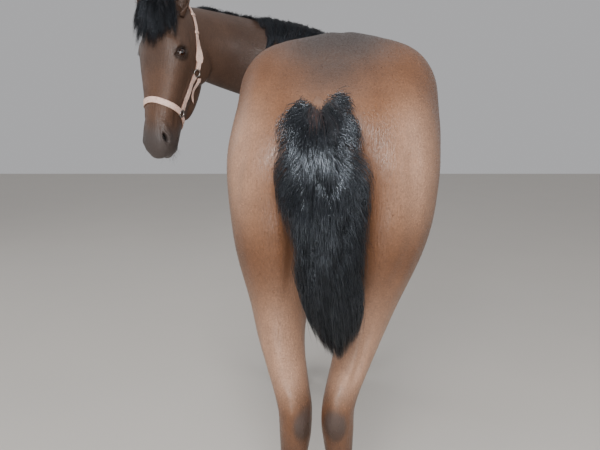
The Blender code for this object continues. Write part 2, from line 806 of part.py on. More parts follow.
def surface_path(target, locals_list, count):
    """Points and normals where rays towards the head's middle line meet its surface."""
    to_world = head_matrix()
    work = bmesh.new()
    work.from_mesh(target.data)
    tree = BVHTree.FromBMesh(work)
    points = []
    normals = []
    for i in range(count):
        x, y, z = smooth_row(locals_list, i * (len(locals_list) - 1) / (count - 1))
        guess = to_world @ Vector((x, y, z))
        place, normal, _, _ = tree.find_nearest(guess)
        points.append(place)
        normals.append(normal)
    work.free()
    smooth_points = points[:]
    smooth_normals = normals[:]
    for i in range(1, count - 1):
        smooth_points[i] = (points[i - 1] + points[i] * 2.0 + points[i + 1]) / 4.0
        smooth_normals[i] = (normals[i - 1] + normals[i] * 2.0 + normals[i + 1]).normalized()
    return smooth_points, smooth_normals


# Halter: paths in the head's frame (side, along, out), for the left side of the head.
STRAP_WIDTH = 0.022
STRAP_THICK = 0.0062
STRAP_SINK = -0.0016
NOSEBAND = [(-0.066, 0.425, -0.090), (-0.062, 0.408, -0.050), (-0.040, 0.394, -0.004),
            (0.000, 0.388, 0.006), (0.040, 0.394, -0.004), (0.062, 0.408, -0.050),
            (0.066, 0.425, -0.090)]
CHIN_STRAP = [(-0.062, 0.432, -0.098), (-0.056, 0.455, -0.130), (-0.034, 0.475, -0.156),
              (0.000, 0.484, -0.166), (0.034, 0.475, -0.156), (0.056, 0.455, -0.130),
              (0.062, 0.432, -0.098)]
CHEEK = [(-0.070, 0.420, -0.095), (-0.078, 0.370, -0.112), (-0.086, 0.320, -0.126),
         (-0.092, 0.272, -0.138)]
CROWN = [(-0.092, 0.262, -0.140), (-0.098, 0.200, -0.140), (-0.098, 0.140, -0.134),
         (-0.094, 0.080, -0.124), (-0.080, 0.030, -0.112), (-0.050, -0.012, -0.098),
         (0.000, -0.032, -0.090), (0.050, -0.012, -0.098), (0.080, 0.030, -0.112),
         (0.094, 0.080, -0.124), (0.098, 0.140, -0.134), (0.098, 0.200, -0.140),
         (0.092, 0.262, -0.140)]
STRAP_END = [(-0.092, 0.285, -0.160), (-0.092, 0.315, -0.166), (-0.088, 0.345, -0.168),
             (-0.082, 0.372, -0.166)]
RING_MAJOR = 0.0135
RING_MINOR = 0.0026


def make_halter(head, cutters):
    """Straps laid on the head's skin, with a ring at each meeting of straps."""
    pieces = {}
    jobs = [("halter_noseband", NOSEBAND, STRAP_WIDTH, 20), ("halter_chin", CHIN_STRAP, 0.016, 18),
            ("halter_crown", CROWN, STRAP_WIDTH, 26), ("halter_strap_end", STRAP_END, 0.015, 6)]
    for sign, side in ((1, "left"), (-1, "right")):
        path = [(x * sign, y, z) for x, y, z in CHEEK]
        jobs.append(("halter_cheek_" + side, path, STRAP_WIDTH, 8))
    for name, path, width, count in jobs:
        points, normals = surface_path(head, path, count)
        pieces[name] = strap(name, points, normals, width, STRAP_THICK, cutters, STRAP_SINK)
    for sign, side in ((1, "left"), (-1, "right")):
        for level, place in (("lower", NOSEBAND[0]), ("upper", CHEEK[-1])):
            spot = (place[0] * sign, place[1], place[2])
            points, normals = surface_path(head, [spot, spot], 3)
            centre = points[1] + normals[1] * (RING_MINOR + 0.0012)
            name = "halter_ring_" + level + "_" + side
            pieces[name] = ring_mesh(name, centre, normals[1], RING_MAJOR, RING_MINOR, cutters)
    return pieces


def ring_mesh(name, centre, normal, major, minor, group):
    normal = normal.normalized()
    side = normal.cross(Vector((0.1, 0.2, 1.0))).normalized()
    rise = side.cross(normal)
    points = []
    steps = 14
    for i in range(steps):
        angle = 2.0 * math.pi * i / steps
        points.append(centre + side * (major * math.cos(angle)) + rise * (major * math.sin(angle)))
    return tube(name, points, minor, group, sides=6, closed=True, reference=normal)


# The tail's outline: height, half width, side shift, place behind, half thickness.
TAIL_FORM = [
    (1.276, 0.042, 0.000, 0.042, 0.020),
    (1.250, 0.064, 0.000, 0.012, 0.034),
    (1.215, 0.082, 0.000, -0.012, 0.044),
    (1.165, 0.090, -0.002, -0.032, 0.052),
    (1.110, 0.098, 0.003, -0.044, 0.055),
    (1.050, 0.092, 0.006, -0.050, 0.055),
    (0.980, 0.084, 0.009, -0.050, 0.052),
    (0.900, 0.069, 0.017, -0.044, 0.046),
    (0.830, 0.054, 0.024, -0.034, 0.040),
    (0.780, 0.038, 0.029, -0.026, 0.030),
    (0.722, 0.010, 0.037, -0.020, 0.010),
]


# Hair locks: counts, sizes at the root and how far the thick part reaches.
TAIL_ROWS = 5
TAIL_ROW_LOCKS = 4
TAIL_LOCK_WIDTH = 0.033
TAIL_LOCK_THICK = 0.0065
TAIL_CORE_SHARE = 0.50
MANE_LOCKS = 22
MANE_LOCK_WIDTH = 0.030
MANE_LENGTH = 0.150
MANE_LOCK_THICK = 0.0055
MANE_FIRST = 0.35
MANE_LAST = 6.75
MANE_TURN = 4.45
MANE_BORDER = 2.60
MANE_SHORT = 0.5
MANE_PARTS = [("mane_withers", MANE_FIRST, MANE_BORDER), ("mane_middle", MANE_BORDER, 4.7),
              ("mane_poll", 4.7, MANE_LAST)]
FORELOCK_LOCKS = 7
FORELOCK_WIDTH = 0.018
FORELOCK_THICK = 0.0045
HAIR_GAP = 0.0010
HAIR_SEED = 11


def surface_tree(things):
    """Search tree over several closed nodes."""
    work = bmesh.new()
    for thing in things:
        work.from_mesh(thing.data)
    bmesh.ops.triangulate(work, faces=work.faces)
    tree = BVHTree.FromBMesh(work)
    work.free()
    return tree


def lifted(tree, point, gap):
    """The point itself, or the nearest place that stands a gap outside the skin."""
    place, normal, _, distance = tree.find_nearest(point)
    outside = (point - place).dot(normal) > 0.0
    if outside and distance >= gap:
        return point
    return place + normal * gap


def lock(name, points, flats, width, thick, group):
    """One flat tapered lock: diamond sections along points, closed to a fine tip."""
    count = len(points)
    rings = []
    for i in range(count):
        share = i / (count - 1)
        ahead = points[min(i + 1, count - 1)]
        behind = points[max(i - 1, 0)]
        direction = (ahead - behind).normalized()
        flat = (flats[i] - direction * flats[i].dot(direction)).normalized()
        side = direction.cross(flat).normalized()
        swell = (0.62 + 1.1 * share - 1.60 * share * share) if share < 1.0 else 0.10
        half = width * max(0.10, swell)
        deep = thick * max(0.14, 1.0 - 0.80 * share)
        rings.append([points[i] - side * half, points[i] + flat * deep,
                      points[i] + side * half, points[i] - flat * deep])
    return loft(name, rings, group)


def fuse_hair(name, core, locks):
    """Union of a core and its locks, kept as one closed surface."""
    group = make_collection(name + "_locks")
    for item in locks:
        for other in list(item.users_collection):
            other.objects.unlink(item)
        group.objects.link(item)
    use_modifier(core, "BOOLEAN", operation="UNION", operand_type="COLLECTION",
                 collection=group, solver="MANIFOLD")
    for item in list(group.objects):
        bpy.data.objects.remove(item, do_unlink=True)
    bpy.data.collections.remove(group)
    core.name = name
    keep_largest(core)
    return core


def tail_row(z):
    """Half width, shift, place and half thickness of the tail at a height."""
    table = sorted(TAIL_FORM)
    z = min(table[-1][0], max(table[0][0], z))
    for low, high in zip(table, table[1:]):
        if low[0] <= z <= high[0]:
            share = (z - low[0]) / (high[0] - low[0])
            return [a + (b - a) * share for a, b in zip(low, high)][1:]
    return list(table[0][1:])


def make_tail(flesh, group):
    """Bushy tail: a core round the dock, and rows of locks that fan out and fall."""
    chance = random.Random(HAIR_SEED)
    tree = surface_tree(flesh)
    rings = []
    core_steps = 9
    core_top = TAIL_FORM[0][0]
    core_foot = 1.015
    for i in range(core_steps + 1):
        z = core_top + (core_foot - core_top) * i / core_steps
        half, shift, y, deep = tail_row(z)
        taper = TAIL_CORE_SHARE * (1.0 - 0.45 * (i / core_steps) ** 2)
        taper = max(taper, 0.85 - 0.5 * i)
        ring = []
        for k in range(10):
            angle = 2.0 * math.pi * k / 10
            ring.append(on_spine(shift + half * taper * math.cos(angle),
                                 y + deep * taper * math.sin(angle), z))
        rings.append(ring)
    core = loft("tail", rings, group)
    locks = []
    for row in range(TAIL_ROWS):
        level = row / (TAIL_ROWS - 1)
        root_z = 1.262 - 0.225 * level
        for place in range(TAIL_ROW_LOCKS):
            q = -1.0 + 2.0 * place / (TAIL_ROW_LOCKS - 1) + (0.28 if row % 2 else -0.05)
            q = max(-1.0, min(1.0, q + chance.uniform(-0.10, 0.10)))
            q *= 0.72 + 0.28 * min(1.0, level * 3.0)
            length = 0.15 + 0.20 * level + chance.uniform(-0.02, 0.02)
            tip_z = root_z - length + 0.05 * abs(q) * (1.0 - level)
            tip_z = max(TAIL_FORM[-1][0] + 0.045 * abs(q), tip_z)
            points, flats = tail_lock_path(q, root_z, tip_z, tree)
            size = 0.85 + 0.35 * level
            locks.append(lock("lock", points, flats, TAIL_LOCK_WIDTH * size,
                              TAIL_LOCK_THICK * size, group))
    return fuse_hair("tail", core, locks)


def tail_lock_path(q, root_z, tip_z, tree):
    """Points from inside the core out and down over the tail's rounded form."""
    points = []
    flats = []
    steps = 4
    for i in range(steps + 1):
        share = i / steps
        z = root_z + (tip_z - root_z) * share + 0.012 * math.sin(math.pi * share)
        half, shift, y, deep = tail_row(z)
        out = 0.30 + 0.66 * math.sin(0.5 * math.pi * min(1.0, share * 2.0))
        side = q * 0.98
        back = math.sqrt(max(0.04, 1.0 - side * side))
        point = on_spine(shift + half * side * out, y - deep * back * out, z)
        _, forward, right = spine_frame(0.0)
        flat = right * (side / half) - forward * (back / deep)
        if share > 0.35:
            point = lifted(tree, point, TAIL_LOCK_THICK + HAIR_GAP)
        points.append(point)
        flats.append(flat.normalized())
    return points, flats


def make_mane(name, first, last, flesh, group):
    """Ridge of hair along a stretch of the crest, its locks falling left, then right."""
    chance = random.Random(HAIR_SEED + round(10.0 * first))
    tree = surface_tree(flesh)
    rings = []
    steps = 10
    for i in range(steps + 1):
        t = first + (last - first) * i / steps
        share = (t - MANE_FIRST) / (MANE_LAST - MANE_FIRST)
        centre, right, up, half, above, _, _ = neck_frame(t)
        rise = math.sin(math.pi * (0.04 + 0.92 * share)) ** 0.5
        ring = []
        for k in range(8):
            angle = 2.0 * math.pi * k / 8
            ring.append(centre + up * (above - 0.004) + right * (0.020 * rise * math.cos(angle))
                        + up * (0.034 * rise * math.sin(angle)))
        rings.append(ring)
    core = loft(name, rings, group)
    locks = []
    count = round(MANE_LOCKS * (last - first) / (MANE_LAST - MANE_FIRST))
    for i in range(count):
        t = first + (last - first) * (i + 0.5) / count
        sign = -1.0 if t < MANE_TURN else 1.0
        length = MANE_LENGTH + chance.uniform(-0.015, 0.020)
        if t - MANE_FIRST < MANE_SHORT or MANE_LAST - t < MANE_SHORT:
            length *= 0.7
        points, flats = mane_lock_path(t, sign, length, chance, tree)
        locks.append(lock("lock", points, flats, MANE_LOCK_WIDTH, MANE_LOCK_THICK, group))
    return fuse_hair(name, core, locks)


def mane_lock_path(t, sign, length, chance, tree):
    """Up out of the ridge, over, and down one side of the neck, trailing back a little."""
    points = []
    flats = []
    steps = 4
    trail = chance.uniform(0.25, 0.45)
    lift = chance.uniform(0.85, 1.15)
    for i in range(steps + 1):
        share = i / steps
        centre, right, up, half, above, _, _ = neck_frame(t - trail * share)
        along = right.cross(up)
        reach = length * share
        over = math.sin(0.5 * math.pi * min(1.0, share * 1.9))
        height = above + 0.010 + 0.030 * lift * math.sin(math.pi * min(1.0, share * 1.25))
        height -= max(0.0, share - 0.22) * length * 1.05
        side = sign * (0.003 + 0.052 * over)
        point = centre + right * side + up * height
        if share > 0.45:
            point = lifted(tree, point, MANE_LOCK_THICK + HAIR_GAP)
        flat = (right * sign * (0.15 + over) + up * (1.0 - 0.8 * over)).normalized()
        points.append(point)
        flats.append(flat)
    return points, flats


def make_forelock(flesh, group):
    """Tuft on the poll whose locks hang over the forehead between the ears."""
    chance = random.Random(HAIR_SEED + 2)
    tree = surface_tree(flesh)
    to_world = head_matrix()
    core = head_ball("forelock", (0.0, 0.018, -0.010), (0.034, 0.036, 0.022), group, 0.0)
    locks = []
    for i in range(FORELOCK_LOCKS):
        q = -1.0 + 2.0 * i / (FORELOCK_LOCKS - 1)
        length = 0.165 - 0.045 * q * q + chance.uniform(-0.012, 0.012)
        points = []
        flats = []
        steps = 4
        for k in range(steps + 1):
            share = k / steps
            fan = 0.35 + 0.65 * math.sin(0.5 * math.pi * share)
            local = Vector((q * 0.074 * fan, 0.010 + length * share,
                            -0.014 + 0.044 * math.sin(0.5 * math.pi * min(1.0, share * 2.2))))
            point = to_world @ local
            gap = (FORELOCK_THICK + HAIR_GAP) * (1.5 if i % 2 else 1.0)
            if share > 0.25:
                point = lifted(tree, point, gap)
            points.append(point)
            flats.append((to_world.to_3x3() @ Vector((q * 0.5, 0.0, 1.0))).normalized())
        locks.append(lock("lock", points, flats, FORELOCK_WIDTH, FORELOCK_THICK, group))
    return fuse_hair("forelock", core, locks)


def colour_value(text):
    """sRGB hex text as linear red, green, blue and alpha."""
    values = []
    for k in (0, 2, 4):
        share = int(text[k:k + 2], 16) / 255.0
        values.append(share / 12.92 if share <= 0.04045 else ((share + 0.055) / 1.055) ** 2.4)
    return (*values, 1.0)


def give_material(thing, colour, roughness, metallic=0.0):
    material = bpy.data.materials.new(thing.name)
    material.use_nodes = True
    shader = material.node_tree.nodes["Principled BSDF"]
    shader.inputs["Base Color"].default_value = colour_value(colour)
    shader.inputs["Roughness"].default_value = roughness
    shader.inputs["Metallic"].default_value = metallic
    material.diffuse_color = colour_value(colour)
    thing.data.materials.clear()
    thing.data.materials.append(material)


def finish_node(thing, name, colour, roughness, parts, smooth=True, metallic=0.0):
    """Name a node, colour it and hand it to the parts' collection."""
    thing.name = name
    thing.data.name = name
    give_material(thing, colour, roughness, metallic)
    for face in thing.data.polygons:
        face.use_smooth = smooth
    for group in list(thing.users_collection):
        group.objects.unlink(thing)
    parts.objects.link(thing)
    return thing


def part_body(skin, cutters):
    """Cut the fused body into torso, neck and legs by thin slabs, and name the pieces."""
    half_seam = SEAM * 0.5
    up = Vector((0.0, 0.0, 1.0))
    centre, right, neck_up, _, _, _, _ = neck_frame(NECK_CUT_STATION)
    along_neck = right.cross(neck_up)
    to_world = head_matrix()
    head_normal = (to_world.to_3x3() @ HEAD_CUT_NORMAL).normalized()
    head_point = to_world @ HEAD_CUT_POINT
    away = slab("head_side", head_point + head_normal * (0.6 + half_seam * -1.0),
                head_normal, 0.28, 0.34, 0.6, cutters)
    cut(skin, away)
    cut(skin, slab("neck_slab", centre, along_neck, 0.45, 0.45, half_seam, cutters))
    between = on_spine(HIND_SWAY, 0.050, 0.500)
    _, spine_forward, spine_right = spine_frame(0.050)
    cut(skin, slab("hock_slab", between, spine_right, 0.16, 0.22, HOCK_GAP * 0.5, cutters))
    rear = slab("hind_slab", on_spine(0.0, 0.140, HIND_CUT_Z), up, 0.40, 0.27, half_seam, cutters)
    cut(skin, rear)
    for sign in (-1, 1):
        place = on_spine(sign * 0.15, 1.165, FORE_CUT_Z)
        cut(skin, slab("fore_slab", place, up, 0.148, 0.148, half_seam, cutters))
    ground = slab("hoof_space", Vector((0.0, 0.6, HOOF_TOP_Z - 0.2)), up, 1.0, 1.2, 0.2, cutters)
    cut(skin, ground)
    names = {}
    for piece in split_pieces(skin, cutters):
        middle = middle_of(piece)
        size = len(piece.data.vertices)
        if size < 60:
            bpy.data.objects.remove(piece, do_unlink=True)
            continue
        if middle.z < FORE_CUT_Z:
            end = "fore_leg" if middle.y > 0.7 else "hind_leg"
            centre_x = on_spine(0.0, middle.y, 0.0).x
            name = end + ("_right" if middle.x > centre_x else "_left")
        elif middle.z > 1.25 and middle.y > 1.15:
            name = "neck"
        else:
            name = "torso"
        if name in names:
            if len(names[name].data.vertices) >= size:
                bpy.data.objects.remove(piece, do_unlink=True)
                continue
            bpy.data.objects.remove(names[name], do_unlink=True)
        names[name] = piece
    return names


def settle_on_origin(things):
    """Move every node so that the middle of the whole footprint is at the origin."""
    corners = [vert.co for thing in things for vert in thing.data.vertices]
    low = Vector([min(c[k] for c in corners) for k in range(3)])
    high = Vector([max(c[k] for c in corners) for k in range(3)])
    shift = Vector((-(low.x + high.x) * 0.5, -(low.y + high.y) * 0.5, -low.z))
    for thing in things:
        thing.data.transform(Matrix.Translation(shift))


COAT = "6e4630"
DARK_COAT = "4a3530"
POINTS = "26201f"
HAIR = "101016"
HOOF = "3b3733"
LEATHER = "d6a596"
METAL = "b9b3a6"


def main():
    clear_scene()
    parts = make_collection("new_altai_horse")
    cutters = make_collection("cutters")

    body = fuse_smooth(body_forms(cutters), "body", BODY_VOXEL, 8, 70, 0.74)
    decimate_to(body, BODY_TRIANGLES)
    pieces = part_body(body, cutters)

    to_world = head_matrix()
    normal = (to_world.to_3x3() @ HEAD_CUT_NORMAL).normalized()
    point = to_world @ HEAD_CUT_POINT
    head = fuse_smooth(head_forms(cutters), "head", HEAD_VOXEL, 8)
    rough = slab("rough_side", point - normal * 0.625, normal, 0.9, 0.9, 0.6, cutters)
    cut(head, rough, solver="MANIFOLD")
    keep_largest(head)
    decimate_to(head, HEAD_TRIANGLES)
    cut(head, slab("neck_side", point - normal * (0.6 - SEAM * 0.5), normal, 0.9, 0.9, 0.6, cutters))
    keep_largest(head)
    eyes = []
    for sign, side in ((-1, "left"), (1, "right")):
        cut(head, lid_ring(sign, cutters), "UNION")
        centre, length, across, look = eye_frame(sign)
        socket = ball("socket", centre, (EYE_RADIUS + SEAM,) * 3, cutters, segments=16, rings=8)
        cut(head, socket)
        eye = ball("eye_" + side, centre, (EYE_RADIUS,) * 3, cutters, segments=16, rings=8)
        eyes.append(eye)
        points = nostril_cutter(sign, cutters)
        cut(head, tube("nostril", points, [0.007, 0.0105, 0.0130, 0.0110], cutters, sides=8))
    cut(head, mouth_cutter(cutters))
    keep_largest(head)

    torso = finish_node(pieces["torso"], "torso", COAT, 0.45, parts)
    neck = finish_node(pieces["neck"], "neck", DARK_COAT, 0.5, parts)
    for name in ("fore_leg_left", "fore_leg_right", "hind_leg_left", "hind_leg_right"):
        finish_node(pieces[name], name, POINTS, 0.5, parts)
    finish_node(head, "head", DARK_COAT, 0.5, parts)
    for eye in eyes:
        finish_node(eye, eye.name, "140e0c", 0.1, parts)

    for sign, side in ((-1, "left"), (1, "right")):
        ear = make_ear("ear_" + side, sign, cutters)
        clear_of(ear, [head], cutters)
        finish_node(ear, "ear_" + side, DARK_COAT, 0.6, parts)
        rear = hoof("hoof", sign, HIND_HOOF_X, 0.126, 0.049, 0.053, cutters)
        finish_node(rear, "hoof_hind_" + side, HOOF, 0.5, parts, smooth=False)
        front = hoof("hoof", sign, FORE_HOOF_X, 1.219, 0.051, 0.055, cutters)
        finish_node(front, "hoof_fore_" + side, HOOF, 0.5, parts, smooth=False)

    halter = make_halter(head, cutters)
    rings = [piece for name, piece in halter.items() if "ring" in name]
    ears = [bpy.data.objects["ear_left"], bpy.data.objects["ear_right"]]
    for ring in rings:
        clear_of(ring, [head], cutters)
    done = []
    for name, piece in halter.items():
        if piece not in rings:
            clear_of(piece, [head, neck] + rings + done, cutters)
            thin_out(piece, STRAP_THINNING)
            done.append(piece)
    for name, piece in halter.items():
        metal = piece in rings
        finish_node(piece, name, METAL if metal else LEATHER, 0.35 if metal else 0.7, parts,
                    smooth=metal, metallic=1.0 if metal else 0.0)
    crown = bpy.data.objects["halter_crown"]

    behind = [torso, pieces["hind_leg_left"], pieces["hind_leg_right"]]
    tail = make_tail(behind, cutters)
    clear_of(tail, behind, cutters, solver="MANIFOLD")
    finish_node(tail, "tail", HAIR, 0.4, parts)
    manes = []
    for name, first, last in MANE_PARTS:
        mane = make_mane(name, first, last, [torso, neck, head], cutters)
        clear_of(mane, [torso, neck, head, crown] + ears + manes, cutters, solver="MANIFOLD")
        finish_node(mane, name, HAIR, 0.5, parts)
        manes.append(mane)
    forelock = make_forelock([head], cutters)
    clear_of(forelock, [head, manes[-1], crown] + ears, cutters, solver="MANIFOLD")
    finish_node(forelock, "forelock", HAIR, 0.5, parts)

    settle_on_origin(parts.objects)
    for thing in cutters.objects:
        thing.hide_render = True
        thing.display_type = "WIRE"


if __name__ == "__main__":
    main()
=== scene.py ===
import math

import bmesh
import bpy
import numpy as np
from mathutils import Matrix, Vector
from mathutils.bvhtree import BVHTree


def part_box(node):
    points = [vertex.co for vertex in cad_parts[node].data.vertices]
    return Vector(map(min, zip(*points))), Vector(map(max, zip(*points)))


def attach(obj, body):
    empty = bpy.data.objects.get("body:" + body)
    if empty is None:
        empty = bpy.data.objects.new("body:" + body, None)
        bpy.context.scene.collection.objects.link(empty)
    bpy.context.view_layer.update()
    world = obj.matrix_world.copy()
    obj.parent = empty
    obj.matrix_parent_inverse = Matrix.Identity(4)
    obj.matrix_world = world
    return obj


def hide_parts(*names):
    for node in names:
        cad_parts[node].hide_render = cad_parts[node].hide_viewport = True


bl_info = {
    "name": "New Altai Horse",
    "version": (1, 0, 0),
    "blender": (4, 5, 0),
    "location": "3D View > Sidebar > Altai Horse",
    "description": "Dresses the packed horse with one skin, coat, hair, hooves and a halter",
    "category": "Object",
}

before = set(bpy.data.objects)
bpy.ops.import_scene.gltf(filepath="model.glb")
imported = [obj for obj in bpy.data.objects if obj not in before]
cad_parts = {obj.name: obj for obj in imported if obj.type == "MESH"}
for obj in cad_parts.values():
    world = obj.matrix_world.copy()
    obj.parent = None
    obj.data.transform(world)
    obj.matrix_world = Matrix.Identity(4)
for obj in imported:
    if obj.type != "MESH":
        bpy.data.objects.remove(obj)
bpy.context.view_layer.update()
BODY = "root"

CROUP_HEIGHT = 1.447
RUMP_HALF_WIDTH = 0.255
HOCK_X = 0.049
HIND_HOOF_X = 0.088
FORE_HOOF_X = 0.115
UP = Vector((0.0, 0.0, 1.0))
SIDES = ((-1, "left"), (1, "right"))
EYE_RADIUS = 0.0205
EAR_LENGTH = 0.165
EAR_SPREAD = {-1: 0.30, 1: 0.56}

# The spine line: heading in degrees, positive towards the horse's right.
HEADING_REAR = 8.0
HEADING_FRONT = -8.0
BEND_FROM_Y = 0.40
BEND_TO_Y = 1.05
SPINE_START_X = 0.052
SPINE_FRAME_STEPS = 24
HIND_SWAY = -0.021
SWAY_FROM_Z = 1.00
SWAY_TO_Z = 0.72

# The head's frame.
HEAD_HEADING = -150.0
HEAD_PITCH = 79.0
HEAD_ROLL = 2.0
FOREHEAD_POINT = Vector((-0.536, 0.990, 1.4405))
FOREHEAD_LOCAL = Vector((0.0, 0.215, 0.010))

RING_POINTS = 40
BODY_VOXEL = 0.0085
HEAD_VOXEL = 0.0045

# y, top, mid height, bottom, half width, upper and lower roundness exponents.
TRUNK = [
    (0.020, 1.240, 1.15, 1.060, 0.080, 2.0, 2.0),
    (0.060, 1.283, 1.15, 1.000, 0.170, 2.0, 2.0),
    (0.130, 1.335, 1.16, 0.960, 0.222, 2.1, 2.0),
    (0.230, 1.392, 1.17, 0.930, 0.252, 2.1, 2.0),
    (0.330, 1.430, 1.16, 0.900, RUMP_HALF_WIDTH, 2.1, 2.0),
    (0.430, CROUP_HEIGHT, 1.14, 0.850, 0.248, 2.1, 2.0),
    (0.540, 1.437, 1.11, 0.790, 0.242, 2.1, 2.0),
    (0.670, 1.416, 1.06, 0.740, 0.256, 2.1, 2.0),
    (0.800, 1.401, 1.03, 0.712, 0.266, 2.0, 2.0),
    (0.920, 1.402, 1.02, 0.700, 0.260, 1.9, 2.0),
    (1.020, 1.422, 1.02, 0.700, 0.240, 1.7, 2.0),
    (1.110, 1.432, 1.03, 0.708, 0.217, 1.6, 2.0),
    (1.210, 1.395, 1.05, 0.730, 0.192, 1.7, 2.0),
    (1.310, 1.330, 1.07, 0.775, 0.168, 1.8, 2.0),
    (1.400, 1.240, 1.07, 0.850, 0.138, 2.0, 2.0),
    (1.450, 1.160, 1.06, 0.940, 0.085, 2.0, 2.0),
]

# height, side offset, fore and aft place, half width, half depth.
HIND_LEG = [
    (1.240, 0.115, 0.190, 0.110, 0.140),
    (1.150, 0.126, 0.185, 0.122, 0.185),
    (1.050, 0.126, 0.188, 0.118, 0.203),
    (0.960, 0.122, 0.195, 0.112, 0.203),
    (0.880, 0.116, 0.200, 0.098, 0.185),
    (0.810, 0.108, 0.180, 0.078, 0.145),
    (0.750, 0.099, 0.145, 0.063, 0.108),
    (0.690, 0.085, 0.108, 0.052, 0.080),
    (0.640, 0.069, 0.080, 0.046, 0.070),
    (0.600, 0.057, 0.064, 0.042, 0.068),
    (0.560, HOCK_X, 0.057, 0.040, 0.067),
    (0.520, HOCK_X, 0.058, 0.040, 0.060),
    (0.470, 0.051, 0.060, 0.037, 0.049),
    (0.400, 0.056, 0.060, 0.030, 0.038),
    (0.320, 0.063, 0.060, 0.027, 0.036),
    (0.265, 0.070, 0.060, 0.033, 0.042),
    (0.235, 0.074, 0.062, 0.035, 0.044),
    (0.195, 0.078, 0.076, 0.031, 0.038),
    (0.150, 0.082, 0.098, 0.032, 0.037),
    (0.110, 0.086, 0.116, 0.041, 0.045),
    (0.080, HIND_HOOF_X, 0.126, 0.048, 0.052),
    (0.040, HIND_HOOF_X, 0.130, 0.050, 0.054),
]

FORE_LEG = [
    (1.080, 0.120, 1.210, 0.085, 0.150),
    (0.980, 0.128, 1.205, 0.085, 0.145),
    (0.900, 0.132, 1.185, 0.080, 0.125),
    (0.830, 0.132, 1.165, 0.071, 0.105),
    (0.760, 0.131, 1.155, 0.061, 0.085),
    (0.690, 0.129, 1.155, 0.052, 0.070),
    (0.610, 0.126, 1.158, 0.044, 0.056),
    (0.530, 0.124, 1.160, 0.039, 0.046),
    (0.480, 0.123, 1.163, 0.043, 0.047),
    (0.440, 0.122, 1.164, 0.044, 0.049),
    (0.400, 0.120, 1.160, 0.038, 0.043),
    (0.350, 0.119, 1.158, 0.029, 0.037),
    (0.280, 0.117, 1.156, 0.028, 0.036),
    (0.240, 0.116, 1.158, 0.034, 0.042),
    (0.210, 0.116, 1.163, 0.035, 0.043),
    (0.175, 0.115, 1.176, 0.031, 0.037),
    (0.135, 0.115, 1.196, 0.034, 0.038),
    (0.105, FORE_HOOF_X, 1.211, 0.043, 0.047),
    (0.080, FORE_HOOF_X, 1.219, 0.050, 0.054),
    (0.040, FORE_HOOF_X, 1.222, 0.052, 0.056),
]

# centre, heading, rise, half width, half height above and below, crest roundness.
NECK = [
    (Vector((0.098, 1.080, 1.200)), -8.0, 50.0, 0.150, 0.270, 0.270, 1.9),
    (Vector((0.082, 1.185, 1.280)), -24.0, 42.0, 0.122, 0.225, 0.225, 1.8),
    (Vector((0.030, 1.270, 1.350)), -50.0, 33.0, 0.106, 0.190, 0.205, 1.7),
    (Vector((-0.060, 1.312, 1.402)), -76.0, 24.0, 0.095, 0.165, 0.185, 1.7),
    (Vector((-0.165, 1.318, 1.437)), -98.0, 16.0, 0.087, 0.150, 0.172, 1.7),
    (Vector((-0.270, 1.290, 1.462)), -115.0, 11.0, 0.082, 0.142, 0.162, 1.8),
    (Vector((-0.360, 1.235, 1.480)), -130.0, 8.0, 0.080, 0.136, 0.148, 1.9),
    (Vector((-0.430, 1.165, 1.492)), -145.0, 6.0, 0.080, 0.128, 0.128, 2.0),
    (Vector((-0.475, 1.090, 1.500)), -155.0, 5.0, 0.076, 0.110, 0.110, 2.0),
]

# along the head, face side, level of the widest part, jaw side, half width, exponents.
HEAD = [
    (0.000, -0.028, -0.070, -0.120, 0.042, 2.0, 2.0),
    (0.030, -0.006, -0.080, -0.165, 0.066, 2.2, 2.0),
    (0.080, 0.010, -0.080, -0.205, 0.086, 2.3, 1.9),
    (0.140, 0.016, -0.070, -0.240, 0.096, 2.5, 1.7),
    (0.200, 0.013, -0.062, -0.258, 0.103, 2.7, 1.5),
    (0.260, 0.008, -0.062, -0.262, 0.099, 2.6, 1.4),
    (0.320, 0.004, -0.062, -0.240, 0.088, 2.4, 1.4),
    (0.380, 0.001, -0.060, -0.200, 0.075, 2.3, 1.6),
    (0.435, 0.000, -0.058, -0.165, 0.065, 2.3, 1.9),
    (0.480, 0.001, -0.058, -0.145, 0.061, 2.3, 2.1),
    (0.518, 0.002, -0.058, -0.133, 0.061, 2.3, 2.2),
    (0.552, -0.003, -0.058, -0.122, 0.059, 2.3, 2.3),
    (0.575, -0.014, -0.060, -0.110, 0.050, 2.2, 2.3),
    (0.589, -0.030, -0.064, -0.098, 0.034, 2.0, 2.0),
]


def heading_vectors(degrees):
    """Forward and right directions on the level for a heading."""
    angle = math.radians(degrees)
    forward = Vector((math.sin(angle), math.cos(angle), 0.0))
    right = Vector((math.cos(angle), -math.sin(angle), 0.0))
    return forward, right


def spine_heading(y):
    share = min(1.0, max(0.0, (y - BEND_FROM_Y) / (BEND_TO_Y - BEND_FROM_Y)))
    return HEADING_REAR + (HEADING_FRONT - HEADING_REAR) * share


def spine_frame(y):
    """Point, forward and right of the bent spine line at a straight distance y."""
    point = Vector((SPINE_START_X, 0.0, 0.0))
    step = y / SPINE_FRAME_STEPS
    for i in range(SPINE_FRAME_STEPS):
        point += heading_vectors(spine_heading((i + 0.5) * step))[0] * step
    forward, right = heading_vectors(spine_heading(y))
    return point, forward, right


def on_spine(x, y, z):
    """Carry a point of the straight animal onto the bent spine line."""
    point, _, right = spine_frame(y)
    placed = point + right * x
    placed.z = z
    return placed


def head_axes():
    """Columns: the horse's right, along the head to the muzzle, out of the face."""
    forward, right = heading_vectors(HEAD_HEADING)
    pitch = math.radians(HEAD_PITCH)
    along = forward * math.cos(pitch) - UP * math.sin(pitch)
    out = forward * math.sin(pitch) + UP * math.cos(pitch)
    turn = Matrix.Rotation(math.radians(HEAD_ROLL), 3, forward)
    return turn @ right, turn @ along, turn @ out


